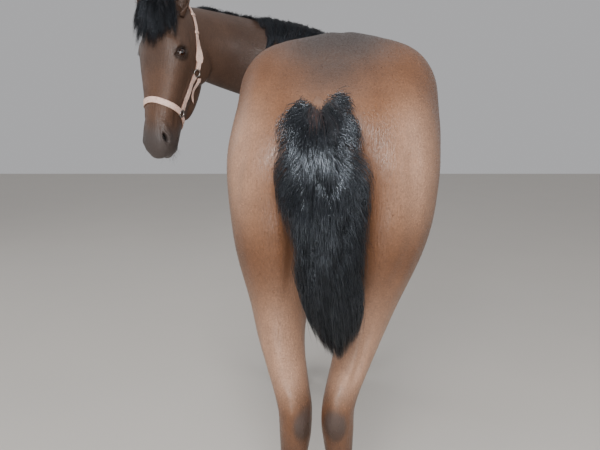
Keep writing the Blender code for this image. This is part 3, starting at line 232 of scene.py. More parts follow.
def head_matrix():
    right, along, out = head_axes()
    basis = Matrix((right, along, out)).transposed()
    origin = FOREHEAD_POINT - basis @ FOREHEAD_LOCAL
    return Matrix.Translation(origin) @ basis.to_4x4()


def head_place(local, sign=1):
    """World place of a point in the head's frame, on the side told by sign."""
    return head_matrix() @ Vector((local[0] * sign, local[1], local[2]))


def head_arrays():
    """The head's right, along and out, and its origin, as arrays."""
    return [np.array(v) for v in (*head_axes(), head_matrix().translation)]


def smooth_row(rows, t):
    """Catmull-Rom value of a table of rows at t, in row numbers."""
    last = len(rows) - 1
    i = min(last - 1, max(0, int(math.floor(t))))
    u = t - i
    around = (rows[max(0, i - 1)], rows[i], rows[i + 1], rows[min(last, i + 2)])
    return [0.5 * (b * 2.0 + (c - a) * u + (a * 2.0 - b * 5.0 + c * 4.0 - d) * (u * u)
                   + (b * 3.0 - a - c * 3.0 + d) * (u * u * u)) for a, b, c, d in zip(*around)]


def round_power(value, exponent):
    """Signed power used by the rounded sections."""
    return math.copysign(abs(value) ** (2.0 / exponent), value)


def unit(values):
    """Vectors scaled to a length of 1 along the last axis."""
    return values / np.maximum(np.linalg.norm(values, axis=-1, keepdims=True), 1e-9)


def columns_at(at, stations, table):
    """Every column of a table at places between its stations."""
    return np.stack([np.interp(at, stations, column) for column in np.asarray(table).T], axis=-1)


def sections(table, steps):
    """Rows at even steps along a table, smoothly between its own rows."""
    return [smooth_row(table, i * (len(table) - 1) / steps) for i in range(steps + 1)]


def new_object(name, verts, faces, group):
    mesh = bpy.data.meshes.new(name)
    mesh.from_pydata([tuple(v) for v in verts], [], faces)
    mesh.update()
    thing = bpy.data.objects.new(name, mesh)
    group.objects.link(thing)
    return thing


def face_outwards(thing):
    """Make every face of a closed mesh look out."""
    work = bmesh.new()
    work.from_mesh(thing.data)
    bmesh.ops.recalc_face_normals(work, faces=work.faces)
    if work.calc_volume(signed=True) < 0.0:
        bmesh.ops.reverse_faces(work, faces=work.faces)
    work.to_mesh(thing.data)
    work.free()
    thing.data.update()


def loft(name, rings, group, strip_caps=False):
    """Closed skin over rings of equal count; ends get a middle point, or strips if C-shaped."""
    count = len(rings[0])
    verts = [v for ring in rings for v in ring]
    faces = []
    top = (len(rings) - 1) * count
    for low in range(0, top, count):
        for k in range(count):
            n = (k + 1) % count
            faces.append((low + k, low + n, low + count + n, low + count + k))
    if strip_caps:
        for k in range(count // 2 - 1):
            far = count - 1 - k
            faces.append((k, k + 1, far - 1, far))
            faces.append((top + k + 1, top + k, top + far, top + far - 1))
    else:
        start = len(verts)
        verts.append(sum(rings[0], Vector()) / count)
        verts.append(sum(rings[-1], Vector()) / count)
        for k in range(count):
            n = (k + 1) % count
            faces.append((start, k, n))
            faces.append((start + 1, top + n, top + k))
    thing = new_object(name, verts, faces, group)
    face_outwards(thing)
    return thing


def egg_ring(place, half_width, middle, above, below, e_up, e_down, count=RING_POINTS):
    """Rounded section; place(side, height) gives the world point."""
    ring = []
    for k in range(count):
        angle = 2.0 * math.pi * k / count
        rise = math.sin(angle)
        reach, exponent = (above, e_up) if rise >= 0.0 else (below, e_down)
        ring.append(place(half_width * round_power(math.cos(angle), exponent),
                          middle + reach * round_power(rise, exponent)))
    return ring


def trunk_loft(group):
    rings = [egg_ring(lambda s, h, y=y: on_spine(s, y, h),
                      half, mid, top - mid, mid - bottom, e_up, e_down)
             for y, top, mid, bottom, half, e_up, e_down in sections(TRUNK, 60)]
    return loft("trunk_form", rings, group)


def hind_sway(y, z):
    """Side shift of the hind legs, which stand a little left of the croup's middle."""
    if y > BEND_FROM_Y:
        return 0.0
    share = min(1.0, max(0.0, (SWAY_FROM_Z - z) / (SWAY_FROM_Z - SWAY_TO_Z)))
    return HIND_SWAY * share


HOCK_SHIFTS = {-1: -0.008, 1: 0.010}
# side, fore and aft, height, half sizes.
WITHERS = (0.0, 1.07, 1.385, (0.045, 0.14, 0.045))
# centre in the head's frame, half sizes.
LIPS = [((0.0, 0.546, -0.116), (0.032, 0.034, 0.022)), ((0.0, 0.574, -0.096), (0.031, 0.022, 0.017)),
        ((0.0, 0.578, -0.052), (0.040, 0.024, 0.026))]


def leg_loft(name, table, sign, shift, group):
    """Leg drawn in level sections; shift moves the lower leg fore or aft."""
    rings = []
    for z, x, y, half, deep in sections(table, 70):
        ring = []
        for k in range(RING_POINTS):
            angle = 2.0 * math.pi * k / RING_POINTS
            side = sign * x + half * math.cos(angle) + hind_sway(y, z)
            ring.append(on_spine(side, y + shift + deep * math.sin(angle), z))
        rings.append(ring)
    return loft(name, rings, group)


NECK_ROWS = [(*row[0], *row[1:]) for row in NECK]
THROAT_ROUNDNESS = 1.9


def neck_frame(t):
    """Centre, right and up of the neck's section at station t, with its sizes."""
    x, y, z, heading, rise, half, above, below, e_up = smooth_row(NECK_ROWS, t)
    forward, right = heading_vectors(heading)
    tilt = math.radians(rise)
    up = UP * math.cos(tilt) - forward * math.sin(tilt)
    return Vector((x, y, z)), right, up, half, above, below, e_up


def neck_loft(group):
    rings = []
    steps = 48
    for i in range(steps + 1):
        centre, right, up, half, above, below, e_up = neck_frame(i * (len(NECK) - 1) / steps)
        rings.append(egg_ring(lambda s, h, c=centre, r=right, u=up: c + r * s + u * h,
                              half, 0.0, above, below, e_up, THROAT_ROUNDNESS))
    return loft("neck_form", rings, group)


def head_loft(group):
    to_world = head_matrix()
    rings = [egg_ring(lambda s, h, a=a: to_world @ Vector((s, a, h)),
                      half, mid, face - mid, mid - jaw, e_up, e_down)
             for a, face, mid, jaw, half, e_up, e_down in sections(HEAD, 52)]
    return loft("head_form", rings, group)


def ball(name, centre, radii, group, axes=None, segments=24, rings=16):
    """Ellipsoid with its half sizes along the given axes."""
    work = bmesh.new()
    bmesh.ops.create_uvsphere(work, u_segments=segments, v_segments=rings, radius=1.0)
    basis = Matrix(axes).transposed() if axes else Matrix.Identity(3)
    for vert in work.verts:
        scaled = Vector((vert.co.x * radii[0], vert.co.y * radii[1], vert.co.z * radii[2]))
        vert.co = centre + basis @ scaled
    mesh = bpy.data.meshes.new(name)
    work.to_mesh(mesh)
    work.free()
    thing = bpy.data.objects.new(name, mesh)
    group.objects.link(thing)
    face_outwards(thing)
    return thing


def spine_ball(name, x, y, z, radii, group, lean=0.0):
    """Ellipsoid on the trunk, its long axis leaning in the fore and aft plane."""
    _, forward, right = spine_frame(y)
    turn = Matrix.Rotation(math.radians(lean), 3, right)
    return ball(name, on_spine(x, y, z), radii, group, (right, turn @ forward, turn @ UP))


def head_ball(name, local, radii, group, lean=0.0, sign=1):
    """Ellipsoid on the head, given in the head's frame, leaning about its right."""
    right, along, out = head_axes()
    turn = Matrix.Rotation(math.radians(lean), 3, right)
    return ball(name, head_place(local, sign), radii, group, (right, turn @ along, turn @ out))


def join_objects(things, name):
    bpy.ops.object.select_all(action="DESELECT")
    for thing in things:
        thing.select_set(True)
    bpy.context.view_layer.objects.active = things[0]
    bpy.ops.object.join()
    joined = bpy.context.view_layer.objects.active
    joined.name = name
    return joined


def use_modifier(thing, kind, **settings):
    """Add a modifier, set it and apply it."""
    modifier = thing.modifiers.new(kind.lower(), kind)
    for key, value in settings.items():
        setattr(modifier, key, value)
    bpy.ops.object.select_all(action="DESELECT")
    thing.select_set(True)
    bpy.context.view_layer.objects.active = thing
    bpy.ops.object.modifier_apply(modifier=modifier.name)


def body_forms(group):
    """Trunk, legs, neck and the muscles that round them out, before they are fused."""
    forms = [trunk_loft(group), neck_loft(group)]
    for sign, hock_shift in HOCK_SHIFTS.items():
        forms.append(leg_loft("hind_form", HIND_LEG, sign, hock_shift, group))
        forms.append(leg_loft("fore_form", FORE_LEG, sign, 0.0, group))
        for x, y, z, radii, lean in MUSCLES:
            shift = hock_shift if z < LEG_SHIFT_BELOW and y < BEND_FROM_Y else 0.0
            side = sign * x + hind_sway(y, z)
            forms.append(spine_ball("muscle", side, y + shift, z, radii, group, lean))
    forms.append(spine_ball("withers", *WITHERS, group))
    return forms


# side, fore and aft, height, half sizes, lean in degrees.
MUSCLES = [
    (0.112, 0.310, 1.270, (0.136, 0.220, 0.142), 0.0),
    (0.096, 0.100, 1.080, (0.088, 0.090, 0.200), 0.0),
    (0.130, 0.200, 1.120, (0.120, 0.180, 0.230), 0.0),
    (0.145, 0.460, 1.270, (0.086, 0.130, 0.105), 0.0),
    (0.125, 0.290, 0.930, (0.073, 0.105, 0.130), 0.0),
    (0.145, 0.420, 1.060, (0.080, 0.150, 0.150), 0.0),
    (0.100, 1.170, 1.160, (0.105, 0.165, 0.235), -20.0),
    (0.108, 1.290, 1.060, (0.078, 0.100, 0.120), 0.0),
    (0.060, 1.345, 1.000, (0.078, 0.080, 0.120), 0.0),
    (0.140, 1.175, 0.800, (0.052, 0.088, 0.120), 0.0),
    (HOCK_X, 0.008, 0.585, (0.018, 0.024, 0.050), 0.0),
]
LEG_SHIFT_BELOW = 0.70

def head_forms(group):
    """Skull, cheeks, brows, nostril wings and lips, before they are fused."""
    forms = [head_loft(group), neck_loft(group)]
    for sign, _ in SIDES:
        for local, radii, lean in FACE_FORMS:
            forms.append(head_ball("face_form", local, radii, group, lean, sign))
    for local, radii in LIPS:
        forms.append(head_ball("lip", local, radii, group))
    return forms


# side, along, out; half sizes; lean.
FACE_FORMS = [
    ((0.058, 0.215, -0.165), (0.034, 0.090, 0.085), 0.0),
    ((0.050, 0.330, -0.070), (0.028, 0.110, 0.020), 8.0),
    ((0.078, 0.196, -0.026), (0.026, 0.042, 0.020), 0.0),
    ((0.074, 0.235, -0.064), (0.024, 0.030, 0.016), 0.0),
    ((0.036, 0.535, -0.036), (0.022, 0.031, 0.026), 12.0),
    ((0.034, 0.547, -0.062), (0.023, 0.034, 0.022), 0.0),
    ((0.030, 0.330, -0.190), (0.022, 0.120, 0.030), 18.0),
]

EYE_LOCAL = Vector((0.0845, 0.2155, -0.0425))
EYE_LOOK = Vector((0.93, 0.0, 0.365))
LID_HALF_LENGTH = 0.0205
LID_HALF_OPENING = 0.0135


def eye_frame(sign):
    """World centre and axes (along the opening, across it, out of the eye)."""
    right, _, out = head_axes()
    look = (right * (EYE_LOOK.x * sign) + out * EYE_LOOK.z).normalized()
    across = (out - look * out.dot(look)).normalized()
    return head_place(EYE_LOCAL, sign), across.cross(look).normalized(), across, look


def settled_shift():
    """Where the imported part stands, told by the left eye's place."""
    low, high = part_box("eye_left")
    return (low + high) * 0.5 - eye_frame(-1)[0]


SHIFT = settled_shift()
FLESH = ["torso", "neck", "head", "ear_left", "ear_right", "fore_leg_left", "fore_leg_right",
         "hind_leg_left", "hind_leg_right"]


def colour(text):
    """Linear colour from an sRGB hex value."""
    parts = [int(text[k:k + 2], 16) / 255.0 for k in (0, 2, 4)]
    return tuple(p / 12.92 if p <= 0.04045 else ((p + 0.055) / 1.055) ** 2.4 for p in parts)


def colour_property(name, description, text):
    return bpy.props.FloatVectorProperty(
        name=name, description=description, subtype="COLOR", size=3, min=0.0, max=1.0,
        default=colour(text))


def length_property(name, description, value):
    return bpy.props.FloatProperty(
        name=name, description=description, default=value, min=0.0, unit="LENGTH", precision=4)


def count_property(name, description, value):
    return bpy.props.IntProperty(name=name, description=description, default=value, min=1)


class HorseSkinSettings(bpy.types.PropertyGroup):
    """Sizes and colours of the skin and its short coat."""
    voxel: length_property("Skin grain", "Size of the cells the skin is fused from", 0.0046)
    coat_depth: length_property("Coat depth", "How far the skin lies inside the solids", 0.0012)
    skin_triangles: count_property("Skin triangles", "Most triangles of the skin", 188000)
    dark: colour_property("Dark bay", "Croup, neck and face", "382a24")
    gold: colour_property("Golden bay", "Flanks and buttocks", "654531")
    # Pale bay is partly the coat's own colour, partly a painted highlight on buttocks and gaskins.
    pale: colour_property("Pale bay", "Backs of the thighs and gaskins", "9c7b67")
    points: colour_property("Black points", "Lower legs, ear rims and lashes", "1b1614")
    muzzle: colour_property("Muzzle skin", "Bare skin of lips and nostrils", "4b4340")
    # Near-black for nostrils, mouth line and lid rims: partly dark skin, partly painted shade in these
    # hollows.
    inside: colour_property("Nostril lining", "Dark lining of nostrils and mouth", "0c0807")
    tufts: count_property("Coat tufts", "Short tufts laid over the body", 26000)


class HorseHairSettings(bpy.types.PropertyGroup):
    """Counts, sizes and colours of the long hair."""
    tail_strands: count_property("Tail strands", "Strands in the whole tail", 15000)
    mane_strands: count_property("Mane strands", "Strands in the whole mane", 9000)
    forelock_strands: count_property("Forelock strands", "Strands over the forehead", 4200)
    width: length_property("Strand width", "Width of one drawn strand", 0.0011)
    black: colour_property("Black hair", "Mane, forelock and tail", "09090c")
    brown: colour_property("Brown hair", "Sunburnt hair among the black", "3a2219")


class HorseTackSettings(bpy.types.PropertyGroup):
    """Sizes and colours of hooves, eyes, halter and floor."""
    strap_width: length_property("Strap width", "Width of the halter's straps", 0.0225)
    strap_thick: length_property("Strap thickness", "Thickness of the leather", 0.0032)
    leather: colour_property("Leather", "Pale tanned leather", "ecc9ba")
    thread: colour_property("Thread", "Stitches along the straps", "f0dccd")
    metal: colour_property("Ring metal", "Nickelled rings", "c2beb8")
    horn: colour_property("Hoof horn", "Dark horn of the hooves", "3d3530")
    iris: colour_property("Iris", "Dark brown iris", "2a150b")
    floor: colour_property("Floor", "Plain pale floor", "cfcac3")


def workshop():
    """Collection for the forms that are melted together."""
    found = bpy.data.collections.get("workshop")
    if found is None:
        found = bpy.data.collections.new("workshop")
        bpy.context.scene.collection.children.link(found)
    return found


def slab(name, centre, normal, across, high, thick, group):
    """Flat box whose thin direction is the normal."""
    reference = Vector((0.0, 1.0, 0.0)) if abs(normal.z) > 0.9 else UP
    side = reference.cross(normal).normalized()
    rise = normal.cross(side)
    verts = [centre + side * (a * across) + rise * (b * high) + normal * (c * thick)
             for a in (-1, 1) for b in (-1, 1) for c in (-1, 1)]
    faces = [(0, 1, 3, 2), (4, 6, 7, 5), (0, 4, 5, 1), (2, 3, 7, 6), (0, 2, 6, 4), (1, 5, 7, 3)]
    thing = new_object(name, verts, faces, group)
    face_outwards(thing)
    return thing


def carve(thing, cutter, operation="DIFFERENCE"):
    use_modifier(thing, "BOOLEAN", operation=operation, object=cutter, solver="MANIFOLD")
    bpy.data.objects.remove(cutter, do_unlink=True)


def melt(thing, voxel, rounds=0):
    """Fuse overlapping forms into one closed skin of even cells, then smooth it."""
    use_modifier(thing, "REMESH", mode="VOXEL", voxel_size=voxel, adaptivity=0.0)
    if rounds:
        use_modifier(thing, "SMOOTH", factor=0.5, iterations=rounds)


def weigh(thing, weights):
    """Point weights that tell a modifier where to work."""
    group = thing.vertex_groups.new(name="weight")
    for i in np.nonzero(weights > 0.0)[0]:
        group.add([int(i)], float(weights[i]), "REPLACE")


def smooth_weighed(thing, weights, rounds):
    """Smooth the piece where its weights say."""
    weigh(thing, weights)
    use_modifier(thing, "SMOOTH", factor=0.5, iterations=rounds, vertex_group="weight")
    thing.vertex_groups.clear()


def points_of(thing):
    places = np.empty(len(thing.data.vertices) * 3)
    thing.data.vertices.foreach_get("co", places)
    return places.reshape(-1, 3)


def normals_of(thing):
    values = np.empty(len(thing.data.vertices) * 3)
    thing.data.vertex_normals.foreach_get("vector", values)
    return values.reshape(-1, 3)


def set_points(thing, places):
    thing.data.vertices.foreach_set("co", np.ascontiguousarray(places, np.float32).ravel())
    thing.data.update()


def head_coordinates(places):
    """Side, along and out in the head's frame."""
    right, along, out, origin = head_arrays()
    return (places - origin) @ np.stack([right, along, out], axis=1)


def in_head(local, back=-0.02, front=0.70, half=0.16, jaw=-0.30):
    """True for places inside a box round the head, given in the head's frame."""
    return (local[:, 1] > back) & (local[:, 1] < front) & (np.abs(local[:, 0]) < half) & (
        local[:, 2] > jaw)


SPINE_STEPS = np.linspace(-0.3, 1.7, 101)
SPINE_TABLE = np.array([list(spine_frame(y)[0])[:2] + list(spine_frame(y)[1])[:2]
                        for y in SPINE_STEPS])


def spine_at(along):
    """Place and forward direction of the spine line, for whole arrays."""
    return [np.interp(along, SPINE_STEPS, SPINE_TABLE[:, k]) for k in range(4)]


def body_coordinates(places):
    """Side, along and height on the straight animal."""
    along = places[:, 1].copy()
    for _ in range(3):
        px, py, fx, fy = spine_at(along)
        along = along + (places[:, 0] - px) * fx + (places[:, 1] - py) * fy
    px, py, fx, fy = spine_at(along)
    side = (places[:, 0] - px) * fy - (places[:, 1] - py) * fx
    return np.stack([side, along, places[:, 2]], axis=1)


def bump_curve(distance, radius):
    """1 at the middle of a stroke, 0 at its radius, rounded at both ends."""
    share = np.clip(1.0 - distance / radius, 0.0, 1.0)
    return share * share * (3.0 - 2.0 * share)


def path_distance(places, path):
    """Least distance from each place to a path of points, and the share along it."""
    best = np.full(len(places), 1e9)
    share = np.zeros(len(places))
    count = len(path) - 1
    for i in range(count):
        a = np.array(path[i], float)
        b = np.array(path[i + 1], float)
        line = b - a
        t = np.clip(((places - a) @ line) / (line @ line), 0.0, 1.0)
        gap = np.linalg.norm(places - a - t[:, None] * line, axis=1)
        nearer = gap < best
        best[nearer] = gap[nearer]
        share[nearer] = (i + t[nearer]) / count
    return best, share


def mirrored(local):
    """Places with both sides laid on one."""
    return np.abs(local * [1.0, 0.0, 0.0]) + local * [0.0, 1.0, 1.0]


def stroke_heights(places, strokes, end_rate, end_least):
    """Sum of the strokes' heights at each place, each fading out at its ends."""
    change = np.zeros(len(places))
    for path, radius, height in strokes:
        near, share = path_distance(places, path)
        ends = np.clip(np.minimum(share, 1.0 - share) * end_rate, end_least, 1.0)
        change += height * bump_curve(near, radius) * ends
    return change


STROKE_DEPTH = 1.6
# Grooves and ridges on the body: path on the straight animal, radius, height; both sides.
BODY_STROKES = [
    ([(0.0, 0.10, 1.32), (0.0, 0.25, 1.41), (0.0, 0.40, 1.455), (0.0, 0.55, 1.45)], 0.030, -0.0030),
    ([(0.095, 0.20, 1.35), (0.100, 0.32, 1.405), (0.100, 0.45, 1.42), (0.095, 0.58, 1.41)],
     0.050, 0.0030),
    ([(0.040, 0.02, 1.18), (0.062, 0.00, 1.05), (0.070, 0.03, 0.93), (0.075, 0.06, 0.82)],
     0.030, -0.0060),
    ([(0.175, 0.03, 1.20), (0.178, 0.03, 1.08), (0.165, 0.05, 0.95), (0.140, 0.06, 0.84)],
     0.035, -0.0045),
    ([(0.100, 0.02, 0.80), (0.085, 0.00, 0.70), (0.060, -0.01, 0.62)], 0.016, 0.0035),
    ([(0.120, 0.05, 0.78), (0.105, 0.04, 0.70), (0.075, 0.03, 0.62)], 0.016, -0.0050),
    ([(0.235, 0.50, 1.22), (0.245, 0.47, 1.10), (0.235, 0.44, 0.98)], 0.045, -0.0050),
    ([(0.150, 0.90, 1.36), (0.190, 1.00, 1.25), (0.205, 1.04, 1.10), (0.195, 1.06, 0.98)],
     0.050, -0.0055),
    ([(0.060, 1.10, 1.42), (0.110, 1.16, 1.32), (0.150, 1.24, 1.18), (0.165, 1.30, 1.08)],
     0.022, 0.0040),
    ([(0.165, 1.10, 1.10), (0.185, 1.14, 0.98), (0.178, 1.16, 0.88)], 0.030, -0.0040),
    ([(0.05, 1.40, 1.05), (0.045, 1.39, 0.95), (0.04, 1.36, 0.86)], 0.030, 0.0040),
    ([(0.0, 1.43, 1.10), (0.0, 1.42, 0.98), (0.0, 1.38, 0.86)], 0.024, -0.0070),
    ([(0.12, 1.10, 0.45), (0.12, 1.12, 0.33), (0.117, 1.13, 0.25)], 0.012, 0.0030),
    ([(0.065, 0.03, 0.46), (0.068, 0.02, 0.34), (0.072, 0.02, 0.26)], 0.012, 0.0030),
]


def draw_body_strokes(places, normals):
    """Lift or sink the skin along each stroke."""
    flat = body_coordinates(places)
    share = np.clip((SWAY_FROM_Z - flat[:, 2]) / (SWAY_FROM_Z - SWAY_TO_Z), 0.0, 1.0)
    flat[:, 0] -= np.where(flat[:, 1] < BEND_FROM_Y, HIND_SWAY * share, 0.0)
    change = STROKE_DEPTH * stroke_heights(mirrored(flat), BODY_STROKES, 6.0, 0.25)
    return places + normals * change[:, None]


# Strokes on the head: path in the head's frame for one side, radius, height.
HEAD_STROKES = [
    ([(0.086, 0.285, -0.108), (0.078, 0.340, -0.094), (0.069, 0.390, -0.084)], 0.013, 0.0045),
    ([(0.088, 0.300, -0.122), (0.079, 0.350, -0.112), (0.068, 0.400, -0.104)], 0.014, -0.0040),
    ([(0.062, 0.150, 0.000), (0.072, 0.165, -0.020), (0.078, 0.172, -0.036)], 0.018, -0.0060),
    ([(0.100, 0.120, -0.080), (0.104, 0.165, -0.088), (0.104, 0.210, -0.098)], 0.016, -0.0030),
    ([(0.092, 0.215, -0.215), (0.090, 0.265, -0.222), (0.084, 0.315, -0.205)], 0.022, 0.0040),
    ([(0.030, 0.380, 0.004), (0.032, 0.430, 0.002), (0.034, 0.475, -0.002)], 0.012, -0.0025),
    ([(0.064, 0.420, -0.060), (0.058, 0.455, -0.062), (0.056, 0.490, -0.064)], 0.016, -0.0030),
    ([(0.080, 0.300, -0.070), (0.071, 0.350, -0.060), (0.062, 0.400, -0.052)], 0.006, 0.0012),
    ([(0.074, 0.330, -0.080), (0.066, 0.390, -0.066), (0.058, 0.440, -0.050)], 0.005, 0.0011),
    ([(0.052, 0.470, -0.012), (0.064, 0.500, -0.034), (0.060, 0.530, -0.052)], 0.017, 0.0050),
    ([(0.040, 0.452, 0.000), (0.056, 0.462, -0.022), (0.062, 0.470, -0.048)], 0.011, -0.0026),
    ([(0.058, 0.505, -0.110), (0.050, 0.535, -0.112), (0.040, 0.560, -0.112)], 0.008, -0.0018),
]

MOUTH_LINE = [(0.067, 0.498, -0.094), (0.058, 0.522, -0.089), (0.050, 0.548, -0.085),
              (0.034, 0.572, -0.081), (0.014, 0.583, -0.079), (0.0, 0.585, -0.079)]
NOSTRIL_SLIT = [(0.047, 0.484, -0.004), (0.053, 0.500, -0.011), (0.055, 0.517, -0.021),
                (0.051, 0.533, -0.033), (0.043, 0.545, -0.043), (0.034, 0.548, -0.049)]
MOUTH_DEPTH = 0.0050
LIP_SWELL = 0.0016
NOSTRIL_OPENING = 0.0022
NOSTRIL_WIDENING = 0.0080
NOSTRIL_DEPTH = 0.016
NOSTRIL_RIM = 0.0026


def draw_head(places, normals):
    """Cheek crest, temple hollow, lips and nostrils; returns places and a mask of dark lining and
    painted shade.
    """
    local = mirrored(head_coordinates(places))
    on_head = in_head(local, -0.05, jaw=-9.0)
    change = stroke_heights(local, HEAD_STROKES, 5.0, 0.3)
    near_mouth, _ = path_distance(local, MOUTH_LINE)
    change -= MOUTH_DEPTH * bump_curve(near_mouth, 0.0050)
    change += LIP_SWELL * bump_curve(np.abs(near_mouth - 0.0075), 0.0045)
    near_slit, share = path_distance(local, NOSTRIL_SLIT)
    opening = NOSTRIL_OPENING + NOSTRIL_WIDENING * np.sin(np.pi * share ** 1.7) ** 1.3
    inside = bump_curve(np.maximum(0.0, near_slit - opening * 0.45), 0.0048)
    rim = bump_curve(np.abs(near_slit - opening - 0.0050), 0.0060) * (share > 0.03)
    change += NOSTRIL_RIM * rim - NOSTRIL_DEPTH * inside
    # Painted shade: near-black inside the nostrils and along the mouth line, partly dark skin, partly
    # the shade of these hollows.
    lining = np.maximum(inside, 0.85 * bump_curve(near_mouth, 0.0032))
    return places + normals * np.where(on_head, change, 0.0)[:, None], lining * on_head


# The almond of the lids leans forward and down by this many degrees.
LID_TURN = 50.0


def lid_opening(u, v):
    """Below 0 inside the almond of the lids, above 0 outside; in metres, roughly."""
    long = LID_HALF_LENGTH * 0.93
    tall = np.where(v > 0.0, LID_HALF_OPENING * 0.92, LID_HALF_OPENING * 0.72)
    reach = np.clip(1.0 - np.abs(u / long) ** 2.1, 0.0, 1.0) ** 0.8
    edge = tall * reach
    outside = np.hypot(np.maximum(np.abs(u) - long, 0.0), np.abs(v))
    return np.where(np.abs(u) < long, np.abs(v) - edge, outside)


def lid_frame(sign):
    """Centre of the eye and the lids' own axes, which lean over the eyeball, as arrays."""
    centre, length, across, look = (np.array(v) for v in eye_frame(sign))
    turn = math.radians(LID_TURN) * sign
    return (centre, length * math.cos(turn) + across * math.sin(turn),
            across * math.cos(turn) - length * math.sin(turn), look)


LID_REACH = 0.042
LID_THICK = 0.0030
LID_FOLD = 0.0024
LID_PUFF = 0.0016
BALL_BEHIND_LIDS = 0.0035


def draw_eye(places, sign):
    """Press the skin round the eyeball into two lids with folds above and below."""
    middle, u_axis, v_axis, w_axis = lid_frame(sign)
    apart = places - middle
    u, v, w = apart @ u_axis, apart @ v_axis, apart @ w_axis
    distance = np.linalg.norm(apart, axis=1)
    near = (distance < LID_REACH) & (w > -0.004)
    gap = lid_opening(u, v)
    lid = EYE_RADIUS + 0.0004 + LID_THICK * np.sqrt(np.clip(gap / 0.0022, 0.0, 1.0))
    lid += 0.0006 * np.clip(gap / 0.006, 0.0, 1.0)
    fold = LID_PUFF * bump_curve(np.abs(gap - 0.0125), 0.0040) - LID_FOLD * (
        bump_curve(np.abs(gap - 0.0085), 0.0030) * np.clip((v + 0.002) / 0.004, 0.35, 1.0))
    wanted = np.where(gap <= 0.0, EYE_RADIUS - BALL_BEHIND_LIDS, lid)
    blend = np.where(gap <= 0.0, 1.0, ramp(-gap, -0.0150, -0.0060))
    reach = distance + np.where(near, (wanted - distance) * blend + fold, 0.0)
    lining = np.where(near, np.clip(1.0 - gap / 0.0028, 0.0, 1.0) * 0.85, 0.0)
    return middle + apart * (reach / np.maximum(distance, 1e-9))[:, None], lining


def refine_near(thing, test, rounds):
    """Split the faces whose middle passes the test, with closed borders."""
    for _ in range(rounds):
        work = bmesh.new()
        work.from_mesh(thing.data)
        places = np.array([face.calc_center_median() for face in work.faces])
        chosen = test(places)
        edges = set()
        for face, taken in zip(work.faces, chosen):
            if taken:
                edges.update(face.edges)
        bmesh.ops.subdivide_edges(work, edges=list(edges), cuts=1, use_grid_fill=True)
        bmesh.ops.triangulate(work, faces=[f for f in work.faces if len(f.verts) > 4])
        work.to_mesh(thing.data)
        work.free()


def eye_distance(places):
    """Distance to the nearer eye."""
    return np.minimum.reduce([np.linalg.norm(places - np.array(eye_frame(sign)[0]), axis=1)
                              for sign, _ in SIDES])


def near_eyes(places):
    return eye_distance(places) < 0.036


def near_nostrils(places):
    return path_distance(mirrored(head_coordinates(places)), NOSTRIL_SLIT)[0] < 0.017


def near_muzzle(places):
    local = head_coordinates(places)
    return in_head(local, 0.475, 0.62, 0.09, -0.16) & (local[:, 2] < 0.04)


EAR_BASE = Vector((0.070, 0.082, -0.038))
EAR_TILT = 0.06
EAR_TURN = 0.55
EAR_FOOT = 0.0030
EAR_HALF = 0.0295
EAR_WALL = 0.0040
EAR_CURL = 0.012
EAR_CLOSED = 168.0
EAR_SECTIONS = 34
EAR_HALF_POINTS = 15


def ear_way(sign):
    """From the foot of the ear towards its tip."""
    right, along, out = head_axes()
    return right * (EAR_SPREAD[sign] * sign) - along + out * EAR_TILT


def ear_axes(sign):
    """Foot of the ear, its way up, and the way that its opening faces."""
    right, _, out = head_axes()
    up = ear_way(sign).normalized()
    facing = out + right * (EAR_TURN * sign)
    return head_place(EAR_BASE, sign), up, (facing - up * facing.dot(up)).normalized()


def ear_form(name, sign, group):
    """Cupped ear of fine crescent sections, thick at the base and thin at the tip."""
    base, up, facing = ear_axes(sign)
    side = up.cross(facing).normalized()
    rings = []
    for i in range(EAR_SECTIONS + 1):
        t = i / EAR_SECTIONS
        radius = EAR_FOOT + EAR_HALF * math.sin(math.pi * min(1.0, 0.22 + 0.78 * t)) ** 0.8
        closed = EAR_CLOSED - 70.0 * min(1.0, t / 0.35) - 22.0 * t
        wall = EAR_WALL * (1.0 - 0.5 * t)
        curl = EAR_CURL * math.sin(math.pi * t) - 0.004 * t * t
        centre = base + up * (t * (EAR_LENGTH - 0.002)) + facing * curl
        outer = []
        inner = []
        for k in range(EAR_HALF_POINTS + 1):
            q = 2.0 * k / EAR_HALF_POINTS - 1.0
            angle = math.radians(closed * q)
            ripple = 1.0 - 0.05 * q * q * math.sin(math.pi * t)
            direction = (side * math.sin(angle) - facing * math.cos(angle)) * ripple
            outer.append(centre + direction * radius)
            inner.append(centre + direction * max(0.0010, radius - wall))
        rings.append(outer + inner[::-1])
    return loft(name, rings, group, strip_caps=True)


def ramp(value, low, high):
    share = np.clip((value - low) / (high - low), 0.0, 1.0)
    return share * share * (3.0 - 2.0 * share)


